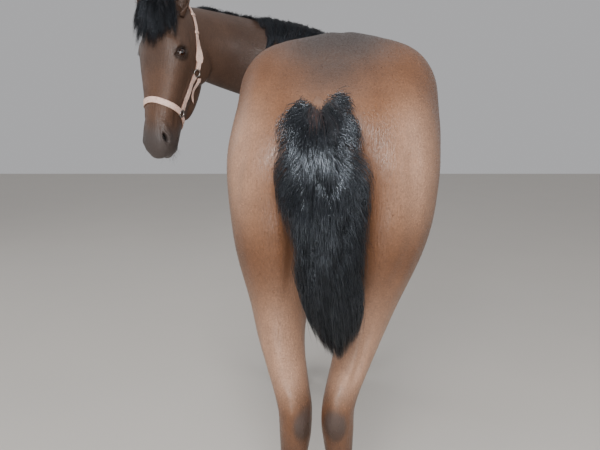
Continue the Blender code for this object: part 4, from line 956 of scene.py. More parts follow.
def markings(places):
    """Black points, golden share with painted shade between the hind legs, pale share with painted
    highlights, and grey muzzle at each place of the animal.
    """
    flat = body_coordinates(places)
    local = head_coordinates(places)
    side, along, high = np.abs(flat[:, 0]), flat[:, 1], flat[:, 2]
    ahead, out = local[:, 1], local[:, 2]
    on_head = ramp(ahead, -0.10, 0.04) * ramp(-np.abs(local[:, 0]), -0.17, -0.12) * ramp(
        out, -0.34, -0.22) * (ahead < 0.70)
    on_neck = ramp(along, 0.98, 1.16) * ramp(high, 1.12, 1.26)
    hind = along < 0.62
    wave = 0.020 * np.sin(flat[:, 0] * 31.0 + along * 17.0) + 0.012 * np.sin(high * 43.0 + along * 29.0)
    black = np.where(hind, ramp(-(high + wave), -0.44, -0.26), ramp(-(high + wave), -0.56, -0.40))
    # Grey patches on the points of the hocks.
    turned = np.where(flat[:, 0] < 0.0, HOCK_X - 0.010, HOCK_X - 0.024)
    off_point = np.hypot((side - turned) / 0.026, (high - 0.545) / 0.044)
    hock = ramp(-off_point, -1.30, -0.75) * ramp(-along, -0.050, -0.015) * hind
    black = np.maximum(black, 0.72 * hock * ramp(-high, -0.62, -0.52)) * (1.0 - on_head)
    # Dark top line, golden flanks, belly and thighs, with painted shade on the inner hind legs.
    top = np.maximum(ramp(high, 1.24, 1.42) * ramp(-side, -0.19, -0.04),
                     0.75 * ramp(high, 1.20, 1.36) * ramp(-side, -0.11, -0.02))
    gold = ramp(high, 0.36, 0.56) * (1.0 - top) * (1.0 - 0.25 * ramp(along, 0.85, 1.20))
    # Painted shade: less gold on the inner sides of the hind legs round the stifles.
    gold *= 1.0 - 0.35 * ramp(-np.abs(high - 0.84), -0.12, -0.03) * ramp(-side, -0.16, -0.06) * hind
    belly = ramp(-high, -0.86, -0.74) * ramp(along, 0.40, 0.60)
    gold = np.clip(gold + 0.6 * belly, 0.0, 1.0)
    # Painted shade: less gold between the thighs, above the hocks.
    gold *= 1.0 - 0.6 * ramp(-side, -0.095, -0.040) * ramp(-high, -1.05, -0.90) * (high > 0.60)
    # Pale backs of the thighs and gaskins: partly paler hair, partly a painted highlight where they
    # face the lamp near the camera.
    pale = ramp(-along, -0.22, -0.02) * ramp(side, 0.09, 0.20) * ramp(high, 0.92, 1.10) * (
        1.0 - ramp(high, 1.20, 1.34)) * 0.80
    pale = np.maximum(pale, 0.85 * ramp(-high, -0.94, -0.70) * ramp(high, 0.56, 0.66) * hind)
    # Round the dock, with a paler collar over it.
    dock = ramp(-along, -0.12, -0.02) * ramp(-side, -0.09, -0.04) * ramp(high, 1.17, 1.22)
    collar = ramp(-along, -0.14, -0.06) * ramp(-side, -0.10, -0.06) * ramp(high, 1.20, 1.24) * (
        1.0 - ramp(high, 1.25, 1.34))
    gold = np.maximum(gold * (1.0 - 0.55 * dock), 0.8 * collar)
    pale = np.maximum(pale * (1.0 - dock), 0.15 * collar)
    black = np.maximum(black, 0.36 * top * (1.0 - collar))
    # Even dark bay on neck and head, redder down the nose; a painted greyish sheen lightens the head.
    gold += (np.minimum(gold, 0.05 * ramp(-high, -1.40, -1.20)) - gold) * on_neck
    pale += (0.06 - pale) * on_neck
    nose = ramp(out, -0.06, 0.0) * ramp(ahead, 0.24, 0.32) * (1.0 - ramp(ahead, 0.42, 0.49))
    gold += (0.32 * nose + 0.04 - gold) * on_head
    # Painted sheen: the head's pale share stands for the greyish shine of the face.
    pale += (0.13 - pale) * on_head
    grey = np.maximum(on_head * ramp(ahead, 0.455, 0.535), 0.70 * hock * ramp(high, 0.49, 0.57))
    for sign, _ in SIDES:
        stem = head_place(EAR_BASE, sign)
        from_ear, _ = path_distance(places, [stem, stem + ear_way(sign) * EAR_LENGTH])
        gold *= 1.0 - ramp(-from_ear, -0.060, -0.040)
    rim = 0.9 * ramp(-eye_distance(places), -0.040, -0.026)
    black = np.maximum(black, rim * 0.75 * on_head)
    return np.clip(np.stack([black, gold, pale, grey], axis=1), 0.0, 1.0)


UV_MARGIN = 0.02
UV_TILE = 0.46


def turn_share(a, b):
    """Share of a full turn of each direction (a, b)."""
    return (np.arctan2(a, b) / (2.0 * math.pi)) % 1.0


def unwrap_place(places):
    """Place of each root on an unwrap of the animal: tiles for trunk, neck, head and legs."""
    flat = body_coordinates(places)
    local = head_coordinates(places)
    side, along, high = flat[:, 0], flat[:, 1], flat[:, 2]
    u = UV_MARGIN + UV_TILE * turn_share(side, high - 1.06)
    v = UV_MARGIN + UV_TILE * np.clip((along + 0.10) / 1.65, 0.0, 1.0)
    neck = (along > 1.02) & (high > 1.14)
    u = np.where(neck, 0.52 + 0.22 * turn_share(high - 1.42, places[:, 1] - 1.25), u)
    v = np.where(neck, UV_MARGIN + UV_TILE * np.clip((places[:, 0] + 0.50) / 0.70, 0.0, 1.0), v)
    legs = high < 0.76
    fore = along > 0.6
    column = np.where(side > 0.0, 1, 0) + np.where(fore, 2, 0)
    round_leg = turn_share(side - np.where(fore, 0.12, 0.075) * np.where(side > 0.0, 1.0, -1.0),
                           along - np.where(fore, 1.17, 0.10))
    u = np.where(legs, UV_MARGIN + column * 0.24 + 0.20 * round_leg, u)
    v = np.where(legs, 0.52 + 0.44 * np.clip(high / 0.76, 0.0, 1.0), v)
    head = in_head(local, -0.20, 0.68, 0.17) & (places[:, 0] < -0.28)
    u = np.where(head, 0.76 + 0.22 * turn_share(local[:, 0], local[:, 2] + 0.09), u)
    v = np.where(head, UV_MARGIN + UV_TILE * np.clip((local[:, 1] + 0.20) / 0.88, 0.0, 1.0), v)
    return np.stack([u, v], axis=1)


def mesh_from_arrays(name, places, corners, counts):
    """Mesh of polygons from flat arrays."""
    mesh = bpy.data.meshes.new(name)
    mesh.vertices.add(len(places))
    mesh.vertices.foreach_set("co", np.ascontiguousarray(places, np.float32).ravel())
    mesh.loops.add(len(corners))
    mesh.loops.foreach_set("vertex_index", np.ascontiguousarray(corners, np.int32))
    mesh.polygons.add(len(counts))
    starts = np.concatenate([[0], np.cumsum(counts)[:-1]]).astype(np.int32)
    mesh.polygons.foreach_set("loop_start", starts)
    mesh.update(calc_edges=True)
    mesh.polygons.foreach_set("use_smooth", np.ones(len(counts), bool))
    mesh.validate()
    return mesh


ATTRIBUTE_FIELDS = {"FLOAT": "value", "FLOAT_COLOR": "color", "FLOAT_VECTOR": "vector"}


def set_attribute(mesh, name, kind, values):
    """Store a value at each point of a mesh, for the materials to read."""
    layer = mesh.attributes.new(name, kind, "POINT")
    layer.data.foreach_set(ATTRIBUTE_FIELDS[kind], np.asarray(values, np.float32).ravel())


def strand_faces(steps):
    """Corners, corner counts and UVs of one closed three-sided strand that ends in a point."""
    tip = (steps - 1) * 3
    corners = [0, 2, 1]
    counts = [3]
    uv = [(0.0, 0.0), (1.0, 0.0), (0.5, 0.0)]
    rise = 1.0 / (steps - 1)
    for s in range(steps - 1):
        for k in range(3):
            low, next_low = s * 3 + k, s * 3 + (k + 1) % 3
            foot = [(k / 3.0, s * rise), ((k + 1) / 3.0, s * rise)]
            if s < steps - 2:
                corners += [low, next_low, next_low + 3, low + 3]
                uv += foot + [((k + 1) / 3.0, (s + 1) * rise), (k / 3.0, (s + 1) * rise)]
                counts.append(4)
            else:
                corners += [low, next_low, tip]
                uv += foot + [(0.5, 1.0)]
                counts.append(3)
    return np.array(corners), np.array(counts), np.array(uv)


UV_STRAND = 0.003


def strands(name, paths, widths, flats, roots, shades, thin=0.45):
    """Closed three-sided tapered strands along paths (count, steps, 3), in pose coordinates."""
    count, steps, _ = paths.shape
    ahead = np.empty_like(paths)
    ahead[:, 1:-1] = paths[:, 2:] - paths[:, :-2]
    ahead[:, 0] = paths[:, 1] - paths[:, 0]
    ahead[:, -1] = paths[:, -1] - paths[:, -2]
    ahead = unit(ahead)
    flat = flats[:, None, :]
    flat = unit(flat - ahead * np.sum(flat * ahead, axis=2, keepdims=True))
    share = np.linspace(0.0, 1.0, steps)
    taper = np.minimum(1.0, 0.55 + 2.2 * share) * (1.0 - share ** 2.4 * 0.9)
    half = 0.5 * widths[:, None, None] * taper[None, :, None]
    across = np.cross(ahead, flat) * half
    ring = np.stack([paths - across, paths + across, paths + flat * half * 2.0 * thin], axis=2)
    body = ring[:, :-1].reshape(count, (steps - 1) * 3, 3)
    points = np.concatenate([body, paths[:, -1:, :]], axis=1)
    per = points.shape[1]
    corners, counts, local_uv = strand_faces(steps)
    all_corners = (np.arange(count)[:, None] * per + corners[None, :]).ravel()
    mesh = mesh_from_arrays(name, points.reshape(-1, 3) + np.array(SHIFT), all_corners,
                            np.tile(counts, count))
    layer = mesh.uv_layers.new(name="OFBake")
    uv = unwrap_place(roots)[:, None, :] + local_uv[None, :, :] * UV_STRAND
    layer.data.foreach_set("uv", uv.astype(np.float32).ravel())
    set_attribute(mesh, "tone", "FLOAT_COLOR", np.repeat(markings(roots), per, axis=0))
    set_attribute(mesh, "shade", "FLOAT", np.repeat(shades, per))
    thing = bpy.data.objects.new(name, mesh)
    bpy.context.scene.collection.objects.link(thing)
    return thing


def surface_tree(thing):
    """Search tree over a piece, in row coordinates."""
    return BVHTree.FromPolygons([v.co for v in thing.data.vertices],
                                [tuple(p.vertices) for p in thing.data.polygons])


def lift_paths(tree, paths, gap, first=1):
    """Push the points of paths from index first on out of the skin."""
    shift = Vector(SHIFT)
    count, steps, _ = paths.shape
    for s in range(first, steps):
        room = gap * min(1.0, 0.4 + s / steps)
        for i in range(count):
            point = Vector(paths[i, s]) + shift
            place, normal, _, distance = tree.find_nearest(point, 0.12)
            if place is not None and ((point - place).dot(normal) < 0.0 or distance < room):
                paths[i, s] = place + normal * room - shift
    return paths


def scatter(thing, count, chance, weight):
    """Seeded random points on a piece's triangles with normals, in pose coordinates."""
    mesh = thing.data
    mesh.calc_loop_triangles()
    total = len(mesh.loop_triangles)
    indices = np.empty(total * 3, np.int32)
    mesh.loop_triangles.foreach_get("vertices", indices)
    indices = indices.reshape(-1, 3)
    places = points_of(thing) - np.array(SHIFT)
    a, b, c = (places[indices[:, k]] for k in range(3))
    area = 0.5 * np.linalg.norm(np.cross(b - a, c - a), axis=1) * weight((a + b + c) / 3.0)
    picked = chance.choice(total, size=count, p=area / area.sum())
    r1 = np.sqrt(chance.random(count))[:, None]
    r2 = chance.random(count)[:, None]
    at = a[picked] * (1.0 - r1) + b[picked] * (r1 * (1.0 - r2)) + c[picked] * (r1 * r2)
    return at, unit(normals_of(thing)[indices[picked]].mean(axis=1))


DOWN = np.array([0.0, 0.0, -1.0])
BACKWARD = -np.array(heading_vectors(HEADING_REAR)[0])
ACROSS_NECK = np.array([0.75, 0.0, -0.55])


def lie_of_coat(places, normals):
    """Direction the short coat lies in, along the skin."""
    flat = body_coordinates(places)
    local = head_coordinates(places)
    _, along, out, _ = head_arrays()
    low = ramp(-flat[:, 2], -1.0, -0.70)[:, None]
    lie = BACKWARD * (1.0 - low) * 0.9 + DOWN * (0.45 + 0.55 * low)
    neck = (flat[:, 1] > 1.02) & (flat[:, 2] > 1.16)
    lie = np.where(neck[:, None], ACROSS_NECK, lie)
    cheek = ramp(-local[:, 2], 0.05, 0.16)[:, None]
    face = along * (1.0 - cheek) * 0.9 - out * (0.15 + 0.8 * cheek)
    lie = np.where(in_head(local, front=0.68)[:, None], face, lie)
    return unit(lie - normals * np.sum(lie * normals, axis=1, keepdims=True))


MELT_ROUNDS = 8
RUMP_ROUNDS = 70
RUMP_FROM_Z = 0.74
RUMP_SPAN = 0.12
HOCK_SLOT_AT = (HIND_SWAY, 0.050, 0.500)
HOCK_SLOT_HALF = (0.16, 0.22, 0.0110)
SKIN_ROUNDS = 4
CORONET_Z = 0.072
HOOF_SPACE_DEEP = 0.3


def skin_forms(settings):
    """Body and head melted into one closed skin, finer on the head than on the body."""
    group = workshop()
    body = join_objects(body_forms(group), "body_form")
    melt(body, BODY_VOXEL, MELT_ROUNDS)
    melt(body, BODY_VOXEL * 1.2)
    heights = points_of(body)[:, 2]
    smooth_weighed(body, np.clip((heights - RUMP_FROM_Z) / RUMP_SPAN, 0.0, 1.0), RUMP_ROUNDS)
    across = spine_frame(HOCK_SLOT_AT[1])[2]
    carve(body, slab("hock_slot", on_spine(*HOCK_SLOT_AT), across, *HOCK_SLOT_HALF, group))
    use_modifier(body, "SUBSURF", levels=1, render_levels=1)
    head = join_objects(head_forms(group), "head_form")
    melt(head, HEAD_VOXEL, MELT_ROUNDS)
    fillers = [ball("eye_filler", eye_frame(sign)[0], [EYE_RADIUS] * 3, group) for sign, _ in SIDES]
    skin = join_objects([head, body] + fillers, "horse_skin")
    melt(skin, settings.voxel, SKIN_ROUNDS)
    under = Vector((0.0, 0.6, CORONET_Z - HOOF_SPACE_DEEP))
    carve(skin, slab("hoof_space", under, UP, 1.5, 1.5, HOOF_SPACE_DEEP, group))
    return skin


def thin_body(skin, wanted):
    """Thin the skin to a number of triangles, the body far more than the head."""
    use_modifier(skin, "TRIANGULATE")
    local = head_coordinates(points_of(skin))
    off_axis = np.linalg.norm(local[:, [0, 2]] - np.array([0.0, -0.08]), axis=1)
    weigh(skin, np.maximum(np.clip((-0.02 - local[:, 1]) / 0.10, 0.0, 1.0),
                           np.clip((off_axis - 0.20) / 0.08, 0.0, 1.0)))
    use_modifier(skin, "DECIMATE", ratio=min(1.0, wanted / len(skin.data.polygons)),
                 vertex_group="weight", vertex_group_factor=1.0)
    skin.vertex_groups.clear()


def give_attributes(thing, lining):
    """Markings, lining and combed coordinates that the coat's material reads."""
    places = points_of(thing) - np.array(SHIFT)
    flat = body_coordinates(places)
    local = head_coordinates(places)
    on_head = in_head(local)
    inside_head = np.minimum.reduce([local[:, 1] + 0.02, 0.16 - np.abs(local[:, 0]),
                                     local[:, 2] + 0.30, 0.70 - local[:, 1]])
    neckward = np.minimum(flat[:, 1] - 1.06, flat[:, 2] - 1.20)
    neck = (neckward > 0.0) & ~on_head
    fur = np.minimum(np.abs(inside_head), np.where(on_head, 1.0, np.abs(neckward))) / 0.035
    flat = np.where(neck[:, None], places[:, [1, 0, 2]] * [1.0, -1.0, 1.0], flat)
    flat = np.where(on_head[:, None], local, flat)
    lie = lie_of_coat(places, normals_of(thing))
    fall = ramp(np.abs(lie[:, 2]), 0.50, 0.85) * ~on_head * ~neck
    for name, kind, values in (("tone", "FLOAT_COLOR", markings(places)),
                               ("combed", "FLOAT_VECTOR", flat), ("fall", "FLOAT", fall),
                               ("fur", "FLOAT", np.clip(fur, 0.0, 1.0)),
                               ("lining", "FLOAT", lining)):
        set_attribute(thing.data, name, kind, values)


def finish_piece(thing, name, material, body=BODY):
    """Name a finished piece, give it its material and let it ride."""
    thing.name = name
    thing.data.name = name
    thing.data.materials.clear()
    thing.data.materials.append(material)
    for other in list(thing.users_collection):
        other.objects.unlink(thing)
    bpy.context.scene.collection.objects.link(thing)
    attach(thing, body)


def fill_inputs(tree, node, inputs):
    """Give a node's inputs their values or links."""
    for key, value in inputs.items():
        socket = node.inputs[key]
        if isinstance(value, bpy.types.NodeSocket):
            tree.links.new(value, socket)
        else:
            socket.default_value = value


def add_node(tree, kind, inputs=None, **settings):
    """Add a node, set its settings, and fill its inputs with values or links."""
    node = tree.nodes.new(kind)
    for key, value in settings.items():
        setattr(node, key, value)
    fill_inputs(tree, node, inputs or {})
    return node


def new_material(name):
    material = bpy.data.materials.new(name)
    material.use_nodes = True
    return material, material.node_tree


def shade_with(tree, inputs):
    """Fill the inputs of the material's shader."""
    fill_inputs(tree, tree.nodes["Principled BSDF"], inputs)


def rgba(value, share=1.0):
    """A colour with its fourth value, lightened or darkened by a share."""
    return (value[0] * share, value[1] * share, value[2] * share, 1.0)


def mixed(tree, share, low, high, blend="MIX"):
    return add_node(tree, "ShaderNodeMix", {0: share, 6: low, 7: high}, data_type="RGBA",
                    blend_type=blend).outputs[2]


def attribute(tree, name, output="Fac"):
    return add_node(tree, "ShaderNodeAttribute", attribute_name=name).outputs[output]


def object_place(tree):
    return add_node(tree, "ShaderNodeTexCoord").outputs["Object"]


def noise(tree, where, scale, detail, **more):
    """Noise of a number of cells a metre; a scale of three values stretches it."""
    if isinstance(scale, tuple):
        where = add_node(tree, "ShaderNodeMapping", {"Vector": where, "Scale": scale}).outputs[0]
        scale = 1.0
    inputs = {"Vector": where, "Scale": scale, "Detail": detail}
    inputs.update(more)
    return add_node(tree, "ShaderNodeTexNoise", inputs).outputs[0]


def spread(tree, value, low, high, to_low=0.0, to_high=1.0):
    """Carry values from one range to another."""
    return add_node(tree, "ShaderNodeMapRange", {
        "Value": value, "From Min": low, "From Max": high, "To Min": to_low,
        "To Max": to_high}).outputs[0]


def reckoned(tree, a, b, operation):
    return add_node(tree, "ShaderNodeMath", {0: a, 1: b}, operation=operation).outputs[0]


def bumped(tree, height, distance, strength):
    return add_node(tree, "ShaderNodeBump", {"Height": height, "Distance": distance,
                                             "Strength": strength}).outputs[0]


def coat_colours(tree, skin):
    """Bay colours laid out by the markings; used by the skin and by its tufts."""
    tone = add_node(tree, "ShaderNodeAttribute", attribute_name="tone").outputs
    black, gold, pale = add_node(tree, "ShaderNodeSeparateColor", {0: tone["Color"]}).outputs
    where = object_place(tree)
    # Soft clouds about 40 mm across: the coat is never one even colour.
    clouds = noise(tree, where, 26.0, 4.0)
    # Painted highlights: tips of the coat catch light every few millimetres; drawn 4 mm coarse so that
    # they show.
    grain = noise(tree, where, 250.0, 3.0, Roughness=0.62)
    bay = mixed(tree, gold, rgba(skin.dark), rgba(skin.gold))
    # The pale share lightens the bay: partly paler hair, partly a painted highlight.
    bay = mixed(tree, pale, bay, rgba(skin.pale))
    cloudy = mixed(tree, clouds, (0.80, 0.80, 0.80, 1.0), (1.22, 1.20, 1.16, 1.0))
    painted_glints = mixed(tree, spread(tree, grain, 0.30, 0.74), (0.76, 0.76, 0.76, 1.0),
                   (1.28, 1.27, 1.25, 1.0))
    for variation in (cloudy, painted_glints):
        bay = mixed(tree, 1.0, bay, variation, "MULTIPLY")
    bay = mixed(tree, black, bay, rgba(skin.points))
    return mixed(tree, tone["Alpha"], bay, rgba(skin.muzzle))


def coat_material(skin):
    """Short glossy bay coat: the eye sees soft, combed streaks and broken highlights."""
    material, tree = new_material("short_bay_coat")
    # Near-black lining of nostrils, mouth line and lid rims: partly dark skin, partly painted shade.
    base = mixed(tree, attribute(tree, "lining"), coat_colours(tree, skin), rgba(skin.inside))
    combed = attribute(tree, "combed", "Vector")
    # Locks of the short coat are about 3 mm wide and lie 25 mm long, backwards and down.
    back = noise(tree, combed, (280.0, 40.0, 280.0), 3.0, Distortion=0.6)
    down = noise(tree, combed, (280.0, 280.0, 40.0), 3.0, Distortion=0.6)
    both = add_node(tree, "ShaderNodeMix", {0: attribute(tree, "fall"), 2: back, 3: down},
                    data_type="FLOAT").outputs[0]
    strength = reckoned(tree, attribute(tree, "fur"), 0.60, "MULTIPLY")
    shade_with(tree, {"Base Color": base, "Normal": bumped(tree, both, 0.0020, strength),
                      "Roughness": spread(tree, both, 0.3, 0.7, 0.26, 0.52), "IOR": 1.5,
                      "Specular IOR Level": 0.26, "Sheen Weight": 0.01, "Sheen Roughness": 0.45,
                      "Sheen Tint": (1.0, 0.86, 0.74, 1.0)})
    return material


SKIN_SHARE = 0.62
EAR_JOINT = 0.034
EAR_JOINT_BACK = 0.004
EAR_ROUNDS = 10


def finished_skin(settings):
    """The whole skin with its strokes, eyes and ears, and the lining at each of its points."""
    skin = skin_forms(settings)
    thin_body(skin, SKIN_SHARE * settings.skin_triangles)
    for test, rounds in ((near_muzzle, 1), (near_nostrils, 1), (near_eyes, 2)):
        refine_near(skin, test, rounds)
    normals = normals_of(skin)
    places = draw_body_strokes(points_of(skin), normals)
    places, lining = draw_head(places, normals)
    for sign, _ in SIDES:
        places, rim = draw_eye(places, sign)
        lining = np.maximum(lining, rim)
    set_points(skin, places)
    set_attribute(skin.data, "lining", "FLOAT", lining)
    set_points(skin, points_of(skin) - normals_of(skin) * settings.coat_depth)
    for sign, side in SIDES:
        carve(skin, ear_form("ear_" + side, sign, workshop()), "UNION")
        base = head_place(EAR_BASE - Vector((0.0, EAR_JOINT_BACK, 0.0)), sign)
        gaps = np.linalg.norm(points_of(skin) - np.array(base), axis=1)
        smooth_weighed(skin, np.clip(2.0 * (1.0 - gaps / EAR_JOINT), 0.0, 1.0), EAR_ROUNDS)
    kept = skin.data.attributes["lining"]
    lining = np.zeros(len(skin.data.vertices), np.float32)
    kept.data.foreach_get("value", lining)
    skin.data.attributes.remove(kept)
    return skin, lining


class HORSE_OT_skin(bpy.types.Operator):
    """One skin for trunk, neck, head, ears and legs, with the short bay coat's markings"""
    bl_idname = "altai_horse.skin"
    bl_label = "Skin"

    def execute(self, context):
        settings = context.scene.horse_skin
        skin, lining = finished_skin(settings)
        set_points(skin, points_of(skin) + np.array(SHIFT))
        give_attributes(skin, lining)
        skin.data.polygons.foreach_set("use_smooth", np.ones(len(skin.data.polygons), bool))
        finish_piece(skin, "horse_skin", coat_material(settings))
        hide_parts(*FLESH)
        return {"FINISHED"}


def deselect_all():
    for thing in bpy.context.selected_objects:
        thing.select_set(False)


def settle(thing):
    """Put the piece's place, turn and size into its mesh."""
    thing.data.transform(thing.matrix_world)
    thing.matrix_world = Matrix.Identity(4)


def eye_material(tack):
    """Wet brown eye: a dark iris round a wide level pupil under a clear cornea."""
    material, tree = new_material("wet_brown_eye")
    gaze = attribute(tree, "gaze", "Vector")
    x, y, _ = add_node(tree, "ShaderNodeSeparateXYZ", {0: gaze}).outputs
    level = add_node(tree, "ShaderNodeCombineXYZ", {0: reckoned(tree, x, 0.58, "MULTIPLY"), 1: y})
    reach = add_node(tree, "ShaderNodeVectorMath", {0: level.outputs[0]}, operation="LENGTH")
    pupil = spread(tree, reach.outputs["Value"], 0.0036, 0.0048)
    # Iris threads run outwards from the pupil, about 0.6 mm apart.
    threads = noise(tree, gaze, 420.0, 4.0)
    iris = mixed(tree, threads, rgba(tack.iris, 0.35), rgba(tack.iris, 1.9))
    coloured = mixed(tree, pupil, (0.0015, 0.0018, 0.003, 1.0), iris)
    plain = add_node(tree, "ShaderNodeVectorMath", {0: gaze, 1: (1.0, 1.15, 0.0)},
                     operation="MULTIPLY")
    ring = add_node(tree, "ShaderNodeVectorMath", {0: plain.outputs[0]}, operation="LENGTH")
    white = spread(tree, ring.outputs["Value"], 0.0160, 0.0178)
    shade_with(tree, {"Base Color": mixed(tree, white, coloured, (0.035, 0.016, 0.011, 1.0)),
                      "Roughness": 0.10, "IOR": 1.376, "Coat Weight": 1.0,
                      "Coat Roughness": 0.02})
    return material


CORNEA_FROM = 0.0120
CORNEA_SWELL = 0.055


class HORSE_OT_eyes(bpy.types.Operator):
    """Two round eyes with a domed cornea, seated in their sockets"""
    bl_idname = "altai_horse.eyes"
    bl_label = "Eyes"

    def execute(self, context):
        material = eye_material(context.scene.horse_tack)
        for sign, side in SIDES:
            centre, length, across, look = (np.array(v) for v in eye_frame(sign))
            deselect_all()
            bpy.ops.mesh.primitive_uv_sphere_add(segments=56, ring_count=36,
                                                 radius=EYE_RADIUS - 0.0004, location=(0, 0, 0))
            eye = bpy.context.active_object
            local = points_of(eye)
            swell = np.clip((local[:, 2] - CORNEA_FROM) / (EYE_RADIUS - CORNEA_FROM), 0.0, 1.0)
            local = local * (1.0 + CORNEA_SWELL * swell ** 1.5)[:, None]
            axes = np.array([length, across, look])
            if np.linalg.det(axes) < 0.0:
                axes[0] = -axes[0]
            set_points(eye, local @ axes + centre + np.array(SHIFT))
            set_attribute(eye.data, "gaze", "FLOAT_VECTOR", local)
            bpy.ops.object.shade_smooth()
            finish_piece(eye, "eyeball_" + side, material)
            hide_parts("eye_" + side)
        return {"FINISHED"}


def horn_material(tack):
    """Dark hoof horn: fine upright tubules and level growth rings, dull and dusty."""
    material, tree = new_material("hoof_horn")
    where = object_place(tree)
    # Growth rings lie about 6 mm apart down the wall.
    level = noise(tree, where, (6.0, 6.0, 165.0), 2.0)
    # Horn tubules, 0.3 mm in life, are drawn 1.2 mm apart so that they show.
    tubules = noise(tree, where, (800.0, 800.0, 22.0), 2.0)
    base = mixed(tree, level, rgba(tack.horn, 0.55), rgba(tack.horn, 1.7))
    base = mixed(tree, tubules, base, rgba(tack.horn, 1.25))
    height = add_node(tree, "ShaderNodeSeparateXYZ", {0: where}).outputs[2]
    dust = spread(tree, height, 0.024, 0.0, 0.0, 0.45)
    both = reckoned(tree, level, tubules, "ADD")
    shade_with(tree, {"Base Color": mixed(tree, dust, base, (0.20, 0.165, 0.125, 1.0)),
                      "Normal": bumped(tree, both, 0.0012, 0.5), "Roughness": 0.52})
    return material


HOOF_TOP = 0.082
# x, y of the foot; half width and half depth at the coronet.
HOOVES = [("hoof_hind_left", -1, HIND_HOOF_X, 0.126, 0.049, 0.053),
          ("hoof_hind_right", 1, HIND_HOOF_X, 0.126, 0.049, 0.053),
          ("hoof_fore_left", -1, FORE_HOOF_X, 1.219, 0.051, 0.055),
          ("hoof_fore_right", 1, FORE_HOOF_X, 1.219, 0.051, 0.055)]
# height, and the wall's reach past the coronet there, in shares of HOOF_FLARE.
HOOF_PROFILE = [(0.0, 0.90), (0.003, 0.985), (0.006, 1.0), (0.035, 0.62), (0.068, 0.13),
                (0.074, -0.02), (HOOF_TOP, -0.32)]
HOOF_FLARE = 0.014
TOE_SLOPE = 0.013
RING_PITCH = 0.0065
RING_HEIGHT = 0.0004
HOOF_LEVELS = 36


def hoof_wall(thing, sign, x, y, top_half, top_deep):
    """Bend a plain cylinder into a hoof with a sloping toe, heels and a worn edge."""
    local = points_of(thing)
    angle = np.arctan2(local[:, 1], local[:, 0])
    reach_in = np.hypot(local[:, 0], local[:, 1])
    z = np.clip(local[:, 2], 0.0, HOOF_TOP)
    grow = np.interp(z, *zip(*HOOF_PROFILE))
    ripple = RING_HEIGHT * np.sin(z * 2.0 * math.pi / RING_PITCH) * (z > 0.004) * (z < 0.072)
    back = np.where(np.sin(angle) < 0.0, 0.86, 1.0)
    notch = 1.0 - 0.10 * np.exp(-((np.abs(angle + math.pi / 2.0)) / 0.16) ** 2)
    side = (top_half + HOOF_FLARE * grow + ripple) * np.cos(angle) * reach_in * notch
    deep = (top_deep + HOOF_FLARE * grow + ripple) * np.sin(angle) * reach_in * back * notch
    along = y + TOE_SLOPE * grow + deep
    done = [on_spine(sign * x + s + hind_sway(y, h), a, h) for s, a, h in zip(side, along, z)]
    set_points(thing, np.array(done) + np.array(SHIFT))


class HORSE_OT_hooves(bpy.types.Operator):
    """Four hooves with sloping toes, heel bulbs and growth rings"""
    bl_idname = "altai_horse.hooves"
    bl_label = "Hooves"

    def execute(self, context):
        material = horn_material(context.scene.horse_tack)
        for name, sign, x, y, top_half, top_deep in HOOVES:
            deselect_all()
            bpy.ops.mesh.primitive_cylinder_add(vertices=72, radius=1.0, depth=HOOF_TOP,
                                                end_fill_type="TRIFAN",
                                                location=(0.0, 0.0, HOOF_TOP * 0.5))
            hoof = bpy.context.active_object
            settle(hoof)
            bpy.ops.object.mode_set(mode="EDIT")
            for step in range(1, HOOF_LEVELS):
                bpy.ops.mesh.select_all(action="SELECT")
                bpy.ops.mesh.bisect(plane_co=(0.0, 0.0, HOOF_TOP * step / HOOF_LEVELS),
                                    plane_no=(0.0, 0.0, 1.0))
            bpy.ops.mesh.select_all(action="SELECT")
            bpy.ops.mesh.normals_make_consistent(inside=False)
            bpy.ops.object.mode_set(mode="OBJECT")
            hoof_wall(hoof, sign, x, y, top_half, top_deep)
            bpy.ops.object.shade_smooth_by_angle(angle=math.radians(50.0))
            finish_piece(hoof, "horn_" + name, material)
            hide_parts(name)
        return {"FINISHED"}


# Halter: paths in the head's frame (side, along, out), for the left side of the head.
NOSEBAND = [(-0.066, 0.425, -0.090), (-0.062, 0.408, -0.050), (-0.040, 0.394, -0.004),
            (0.000, 0.388, 0.006), (0.040, 0.394, -0.004), (0.062, 0.408, -0.050),
            (0.066, 0.425, -0.090)]
CHIN_STRAP = [(-0.062, 0.432, -0.098), (-0.056, 0.455, -0.130), (-0.034, 0.475, -0.156),
              (0.000, 0.484, -0.166), (0.034, 0.475, -0.156), (0.056, 0.455, -0.130),
              (0.062, 0.432, -0.098)]
CHEEK = [(-0.070, 0.420, -0.095), (-0.078, 0.370, -0.112), (-0.086, 0.320, -0.126),
         (-0.092, 0.272, -0.138)]
CROWN = [(-0.092, 0.262, -0.140), (-0.098, 0.200, -0.140), (-0.098, 0.140, -0.134),
         (-0.094, 0.080, -0.124), (-0.080, 0.030, -0.112), (-0.050, -0.012, -0.098),
         (0.000, -0.032, -0.090), (0.050, -0.012, -0.098), (0.080, 0.030, -0.112),
         (0.094, 0.080, -0.124), (0.098, 0.140, -0.134), (0.098, 0.200, -0.140),
         (0.092, 0.262, -0.140)]
STRAP_END = [(-0.092, 0.285, -0.160), (-0.092, 0.315, -0.166), (-0.088, 0.345, -0.168),
             (-0.082, 0.372, -0.166)]
RING_UPPER = (-0.092, 0.267, -0.139)
RING_LOWER = (-0.068, 0.426, -0.094)
RING_MAJOR = 0.0135
RING_MINOR = 0.0026
KEEPER_PLACES = (0.140, 0.205)
TAB_REACH = (0.026, 0.112)
PATH_STEP = 0.0035
PATH_ROUNDS = 14
OVER_SKIN = 0.0006


def path_lengths(points):
    """Length along a path up to each of its points."""
    return np.concatenate([[0.0], np.cumsum(np.linalg.norm(np.diff(points, axis=0), axis=1))])


def rounded_off(table):
    """Even out a table, its ends held."""
    for _ in range(PATH_ROUNDS):
        table[1:-1] = (table[:-2] + 2.0 * table[1:-1] + table[2:]) / 4.0
    return table


